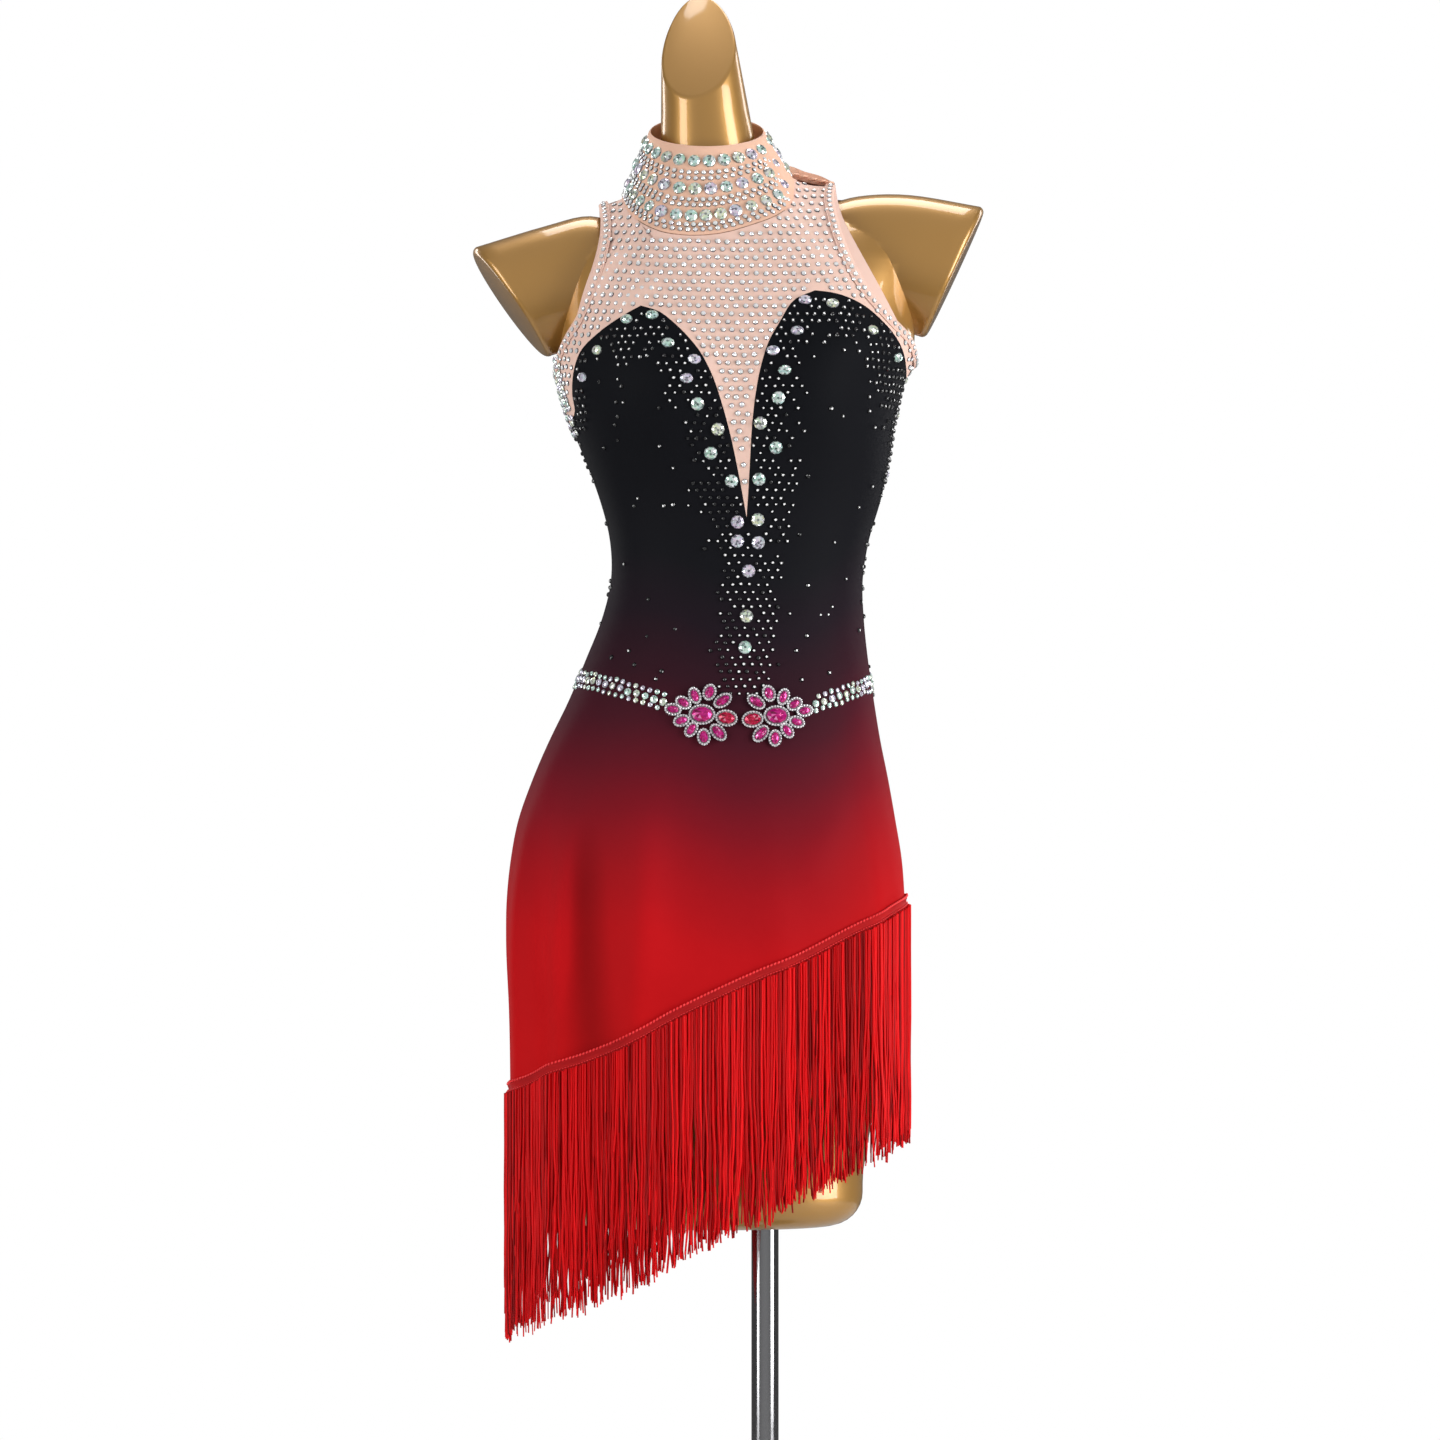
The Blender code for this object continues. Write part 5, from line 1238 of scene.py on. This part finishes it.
def strands(name, hem, front, seed, material):
    """Cords that hang from the header tape in a few close layers, bunching a little towards their ends."""
    rng = np.random.default_rng(seed)
    all_places = []
    shares = np.linspace(0, 1, STRAND_POINTS)
    turns = circle(STRAND_SIDES)[:, None]
    count = STRANDS
    for layer in range(STRAND_LAYERS):
        angles, heights = (values[:-1] for values in edge((hem,), (count,), front))
        angles = angles + np.gradient(angles) * rng.uniform(0.1, 0.9, count)
        angles = np.clip(angles, SIDE_ANGLES[front][0] + 0.5, SIDE_ANGLES[front][1] - 0.5)
        lift = 0.0010 + 0.0013 * layer + rng.uniform(0, 0.0008, count)
        root = lifted(angles, heights - TAPE_HEIGHT * rng.uniform(0.60, 0.70, count), lift)
        out = unit(outward(angles, heights) * (1.0, 1.0, 0.0))
        side = np.cross((0.0, 0.0, 1.0), out)
        bunch = np.cumsum(rng.uniform(0, 1, count) < 1 / 6)
        runs = runs_of(root[:, :2])
        pull = np.array([np.mean(runs[bunch == group]) for group in bunch]) - runs
        whole = LOCK_LENGTH - LOCK_TAPER * (root[:, 0] - LOCK_TAPER_START_X)
        short = (rng.uniform(0, 1, count) < 0.30) * rng.uniform(0.006, 0.050, count) * (root[:, 0] < -0.04)
        length = np.minimum(whole + rng.normal(0, 0.0040, count), whole + 0.007) - short
        length = length - 0.008 * (rng.uniform(0, 1, count) < 0.2) + (root[:, 2] - heights + TAPE_HEIGHT)
        phase = rng.uniform(0, 2 * math.pi, (count, 2))
        sway = rng.normal(0, 0.0016, count)
        wave = (0.0012 * np.sin(2 * math.pi * 1.3 * shares + phase[:, :1]) * shares ** 0.6
                + 0.0007 * np.sin(2 * math.pi * 3.7 * shares + phase[:, 1:]) * shares)
        along_side = wave + (pull * 0.40 + sway)[:, None] * shares ** 1.7
        along_out = 0.0005 * np.cos(2 * math.pi * 2.1 * shares + phase[:, 1:]) * shares
        centre = (root[:, None] + side[:, None] * along_side[..., None] + out[:, None] * along_out[..., None]
                  - np.array([0.0, 0.0, 1.0]) * (length[:, None] * shares)[..., None])
        radius = STRAND_RADIUS * (1 - 0.35 * shares ** 4) * rng.uniform(0.85, 1.15, count)[:, None]
        all_places.append(centre[:, :, None] + radius[:, :, None, None]
                          * (np.cos(turns) * side[:, None, None] + np.sin(turns) * out[:, None, None]))
    starts = np.arange(count * STRAND_LAYERS) * STRAND_SIDES * STRAND_POINTS
    faces = (tube_quads(STRAND_POINTS, STRAND_SIDES)[None] + starts[:, None, None]).reshape(-1, 4)
    made = piece(name, all_places, faces, material)
    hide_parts(name)


def header(name, hem, front, material, light):
    """The tape that carries the fringe, with its looped upper edge and two rows of stitches."""
    angles, heights = edge((hem,), (220,), front)
    outer, inner = [], []
    for share, lift in HEADER_PROFILE:
        level = heights - TAPE_HEIGHT * (1 - share)
        outer.append(lifted(angles, level, lift))
        inner.append(lifted(angles, level, 0.0003))
    made = shell(name, *(kept_on_its_side(np.array(side), front) for side in (outer, inner)), material)
    for row, (share, pitch, radius, aspect, lean) in enumerate(HEADER_STITCHES):
        angles, heights = edge((hem,), (int(0.45 / pitch),), front)
        level = heights - TAPE_HEIGHT * (1 - share)
        run = np.gradient(lifted(angles, level, 0.0022), axis=0)
        spins = np.arcsin(np.clip(np.gradient(heights) / np.linalg.norm(run, axis=-1), -1, 1)) + lean
        knots = on_cloth(f"{name}_stitches_{row + 1}", BALL, angles, level, 0.0022, radius, light,
                         aspects=aspect, spins=spins, seed=20 + row, height=0.7)
        knots.data.shade_smooth()


# Belt and brooches

def belt(clear):
    found, radii = [], []
    rng = np.random.default_rng(14)
    for path, front in ((BELT_LEFT_SIDE, True), (BELT_RIGHT_SIDE, True), (BELT_BACK, False)):
        x, z = along(path, 400, front)
        angles = angle_of(x, z, front)
        runs = runs_of(on_figure(angles, z))
        for offset, pitch, radius, start in BELT_ROWS:
            at = np.arange(start, runs[-1], pitch)
            jitter = rng.uniform(-0.0009, 0.0009, len(at))
            found.append((np.interp(at, runs, angles), np.interp(at, runs, z) + offset + jitter))
            radii.append(radius * rng.uniform(0.93, 1.07, len(at)))
    angles, heights = np.concatenate(found, axis=1)
    made = on_cloth("belt_stones", LARGE_CUT, angles, heights, 0.0006, np.concatenate(radii), clear, seed=15)
    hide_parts("belt_left", "belt_right", "belt_back")


def brooch_frame(centre):
    """A brooch's middle, its direction across and its direction up."""
    angle = angle_of(centre.x, centre.z, True)
    out = outward(angle, centre.z)
    across = unit(np.cross((0.0, 0.0, 1.0), out))
    return on_figure(angle, centre.z), across, np.cross(out, across)


def brooch_spot(frame_of, u, v, lift):
    """Places on the cloth at offsets from a brooch's middle, with the directions out."""
    origin, across, up = frame_of
    place = origin + across * np.asarray(u)[..., None] + up * np.asarray(v)[..., None]
    angle = angle_of(place[..., 0], place[..., 2], True)
    return lifted(angle, place[..., 2], lift), outward(angle, place[..., 2])


def oval(frame_of, centre, spin, reach, wide, sides, lift):
    """Spots on an oval round a gem."""
    a, b = reach * np.cos(circle(sides)), wide * np.sin(circle(sides))
    return brooch_spot(frame_of, centre[0] + a * math.cos(spin) - b * math.sin(spin),
                       centre[1] + a * math.sin(spin) + b * math.cos(spin), lift)


def brooches(silver, ruby, red):
    """Flowers of gems, each gem in a ring of small stones on a silver plate."""
    sides = 24
    for name, brooch_centre, mirror in zip(("brooch_left", "brooch_right"), BROOCH_CENTRES, (1, -1)):
        frame_of = brooch_frame(brooch_centre)
        gems, spins, beads, plate, faces = [], [], [], [], []
        for petal in PETALS:
            centre = (mirror * petal.u, petal.v)
            spin = math.atan2(centre[1], centre[0]) if any(centre) else 0.0
            gems.append(brooch_spot(frame_of, *centre, 0.0034 if petal.reach > 0.006 else 0.0026))
            spins.append(spin)
            reach, wide = petal.reach + GEM_MARGIN, petal.wide + GEM_MARGIN
            count = int(math.pi * (reach + wide) / BEAD_PITCH)
            beads.append(oval(frame_of, centre, spin, reach, wide, count, 0.0026))
            low = sum(len(ring) for ring in plate)
            high, tip = low + sides, low + 2 * sides
            reach, wide = reach + PLATE_MARGIN, wide + PLATE_MARGIN
            for size, corners, lift in ((1.0, sides, 0.0006), (1.0, sides, 0.0024), (0.0, 1, 0.0026)):
                plate.append(oval(frame_of, centre, spin, size * reach, size * wide, corners, lift)[0])
            for k in range(sides):
                j = (k + 1) % sides
                faces += [[low + k, low + j, high + j, high + k], [high + k, high + j, tip]]
        places, outs = (np.array(column) for column in zip(*gems))
        reaches = np.array([petal.reach for petal in PETALS])
        aspects = np.array([petal.wide for petal in PETALS]) / reaches
        is_red = np.arange(len(PETALS)) == RED_PETAL
        for label, chosen, material in (("gems", ~is_red, ruby), ("red_gem", is_red, red)):
            made = stones(f"{name}_{label}", LARGE_CUT, places[chosen], outs[chosen], reaches[chosen], material,
                          aspects[chosen], np.array(spins)[chosen], 31, 0.85, mixed_tints)
        ring = stones(f"{name}_beads", SMALL_CUT, *(np.concatenate(column) for column in zip(*beads)), 0.00115,
                      silver, seed=32, height=1.2, tints=mixed_tints)
        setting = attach(linked(name, np.concatenate(plate), faces, silver), "root")
        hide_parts(name)


# The dress form and its stand

def round_edge(rings, radius, steps=4):
    """The last ring again as a few rings that round the edge over onto the flat cut."""
    last = rings[-1]
    onward = unit(last - rings[-2])
    inward = unit(last.mean(axis=0) - last)
    turns = [math.pi / 2 * step / steps for step in range(steps + 1)]
    return rings[:-1] + [last - onward * radius * (1 - math.sin(turn)) + inward * radius * (1 - math.cos(turn))
                         for turn in turns]


def smooth_slices(slices, count):
    """A stub's sections, drawn smoothly between the rows of its table."""
    Row = namedtuple("Row", ("key",) + Slice._fields)
    rows = [Row(float(key), *values) for key, values in enumerate(slices)]
    at = np.linspace(0, len(rows) - 1, count)
    return table(Slice, *np.stack([smooth(rows, "key", field, at) for field in Slice._fields], axis=-1))


def gold_form():
    gold = gold_gloss()
    rings = []
    for step in range(9):
        turn = math.radians(90 * step / 8)
        rings.append(form_ring(FORM_BOTTOM + FORM_EDGE_ROUND * (1 - math.cos(turn)),
                               FORM_EDGE_ROUND * (1 - math.sin(turn))))
    for z in np.concatenate([np.linspace(FORM_BOTTOM + FORM_EDGE_ROUND + 0.008, 1.34, 76),
                             np.linspace(1.345, FORM_TOP_RING, 44)]):
        rings.append(form_ring(z))
    body = loft("gold_form", rings, gold, 50)
    others = [loft(f"stub_{side}", stub_rings(smooth_slices(slices, 16)), gold)
              for slices, side in ((STUB_LEFT, "left"), (STUB_RIGHT, "right"))]
    others.append(loft("neck", round_edge(neck_rings(), 0.003), gold))
    for other in others:
        joint = body.modifiers.new(other.name, "BOOLEAN")
        joint.operation = "UNION"
        joint.solver = "EXACT"
        joint.object = other
    bpy.context.view_layer.update()
    whole = bpy.data.meshes.new_from_object(body.evaluated_get(bpy.context.evaluated_depsgraph_get()))
    body.modifiers.clear()
    body.data = whole
    whole.shade_smooth()
    whole.set_sharp_from_angle(angle=math.radians(40))
    for other in others:
        bpy.data.objects.remove(other, do_unlink=True)
    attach(body, "root")
    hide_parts("dress_form")


def rounded_spots(radius, low, high, edge_radius):
    """A disc's profile with its upper edge rounded."""
    turns = [math.pi / 2 * step / 6 for step in range(7)]
    rounded = [(radius - edge_radius * (1 - math.cos(turn)), high - edge_radius * (1 - math.sin(turn)))
               for turn in turns]
    return [(radius - FOOT_BEVEL, low), (radius, low + FOOT_BEVEL)] + rounded


def stand():
    chrome = dark_chrome()
    plate = rounded_spots(BASE_RADIUS, 0.0, BASE_HEIGHT, 0.004)
    hub = rounded_spots(HUB_RADIUS, BASE_HEIGHT, HUB_TOP, 0.006)
    pole = ((POLE_RADIUS, HUB_TOP - 0.001), (POLE_RADIUS, FORM_BOTTOM - SEAT_GAP))
    for name, profile, sides in (("base_plate", plate, 128), ("base_hub", hub, 64), ("pole", pole, 64)):
        turns = circle(sides)
        rings = [points(radius * np.cos(turns), radius * np.sin(turns), z) for radius, z in profile]
        made = loft(f"{name}_finish", rings, chrome, 30)
        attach(made, "root")
        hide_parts(name)


# Camera, light and floor

def add_light(light):
    data = bpy.data.lights.new(light.name, "AREA")
    data.shape = "RECTANGLE"
    data.size = light.width
    data.size_y = light.height
    data.energy = light.power
    made = bpy.data.objects.new(light.name, data)
    made.location = (light.x, light.y, light.z)
    made.rotation_euler = (Vector(LIGHT_AIM) - made.location).to_track_quat("-Z", "Y").to_euler()
    bpy.context.scene.collection.objects.link(made)


def studio():
    scene = bpy.context.scene
    world = bpy.data.worlds.new("studio")
    world.use_nodes = True
    scene.world = world
    scene.view_settings.view_transform = "Standard"
    tree = world.node_tree
    facing = node(tree, "VectorMath", tree.nodes.new("ShaderNodeTexCoord").outputs["Generated"], BRIGHT_SIDE,
                  operation="DOT_PRODUCT")
    soft = node(tree, "MapRange", Value=facing.outputs["Value"], From_Min=0.15, From_Max=0.90,
                To_Min=WORLD_DARK, To_Max=WORLD_LIGHT, interpolation_type="SMOOTHSTEP")
    seen = tree.nodes.new("ShaderNodeLightPath").outputs["Is Camera Ray"]
    strength = node(tree, "MapRange", Value=seen, To_Min=soft.outputs["Result"], To_Max=1.0)
    fill(tree.nodes["Background"], Color=(1.0, 1.0, 1.0, 1.0), Strength=strength.outputs["Result"])
    for light in LIGHTS:
        add_light(light)
    pale = new_material("pale_floor", (0.60, 0.60, 0.59), 0.6)[0]
    turns = circle(128)
    linked("floor", points(1.6 * np.cos(turns), 1.6 * np.sin(turns), 0.0), [list(range(128))], pale)
    camera = bpy.data.objects.new("camera", bpy.data.cameras.new("camera"))
    camera.data.lens = camera.data.sensor_width * CAMERA_DISTANCE / CAMERA_VIEW
    camera.location = (CAMERA_X, -CAMERA_DISTANCE, CAMERA_Z)
    camera.rotation_euler = (math.radians(90), 0.0, 0.0)
    scene.collection.objects.link(camera)
    scene.camera = camera


def main():
    studio()
    nude = mesh_cloth("nude_stretch_mesh", (0.86, 0.590, 0.495), 0.6, 0.18, 520.0)
    band = mesh_cloth("peach_band_cloth", (0.86, 0.53, 0.385), 0.5, 0.10, 420.0)
    all_cloth(nude)
    clear = faceted("clear_crystal", CRYSTAL, 0.10, 0.60)
    pearl = faceted("silvery_crystal", PEARL_WITH_PAINTED_LIGHT, 0.14, 0.45)
    collar(band)
    collar_stones(clear, pearl)
    yoke_stones("front_yoke_stones", True, pearl, 41)
    yoke_stones("back_yoke_stones", False, pearl, 42)
    bindings(nude, pearl)
    closure_band(band)
    closure(band)
    jet_stones(faceted("jet_stone", JET_WITH_PAINTED_GLINT, 0.12, 0.0, 0.6))
    large_stones(clear)
    side_crystals(clear)
    cord = fringe_cord()
    tape = woven_tape()
    light = new_material("header_stitch", (0.95, 0.030, 0.036), 0.4)[0]
    for side, hem, front, seed in (("front", HEM_FRONT, True, 51), ("back", HEM_BACK, False, 61)):
        strands(f"fringe_{side}", hem, front, seed, cord)
        header(f"header_{side}", hem, front, tape, light)
    belt(clear)
    brooches(faceted("silver_setting", SILVER, 0.18, 0.40), faceted("ruby_gem", RUBY, 0.08, 0.35, 0.35),
             faceted("red_ruby_gem", RED_RUBY, 0.08, 0.35, 0.35))
    gold_form()
    stand()


main()
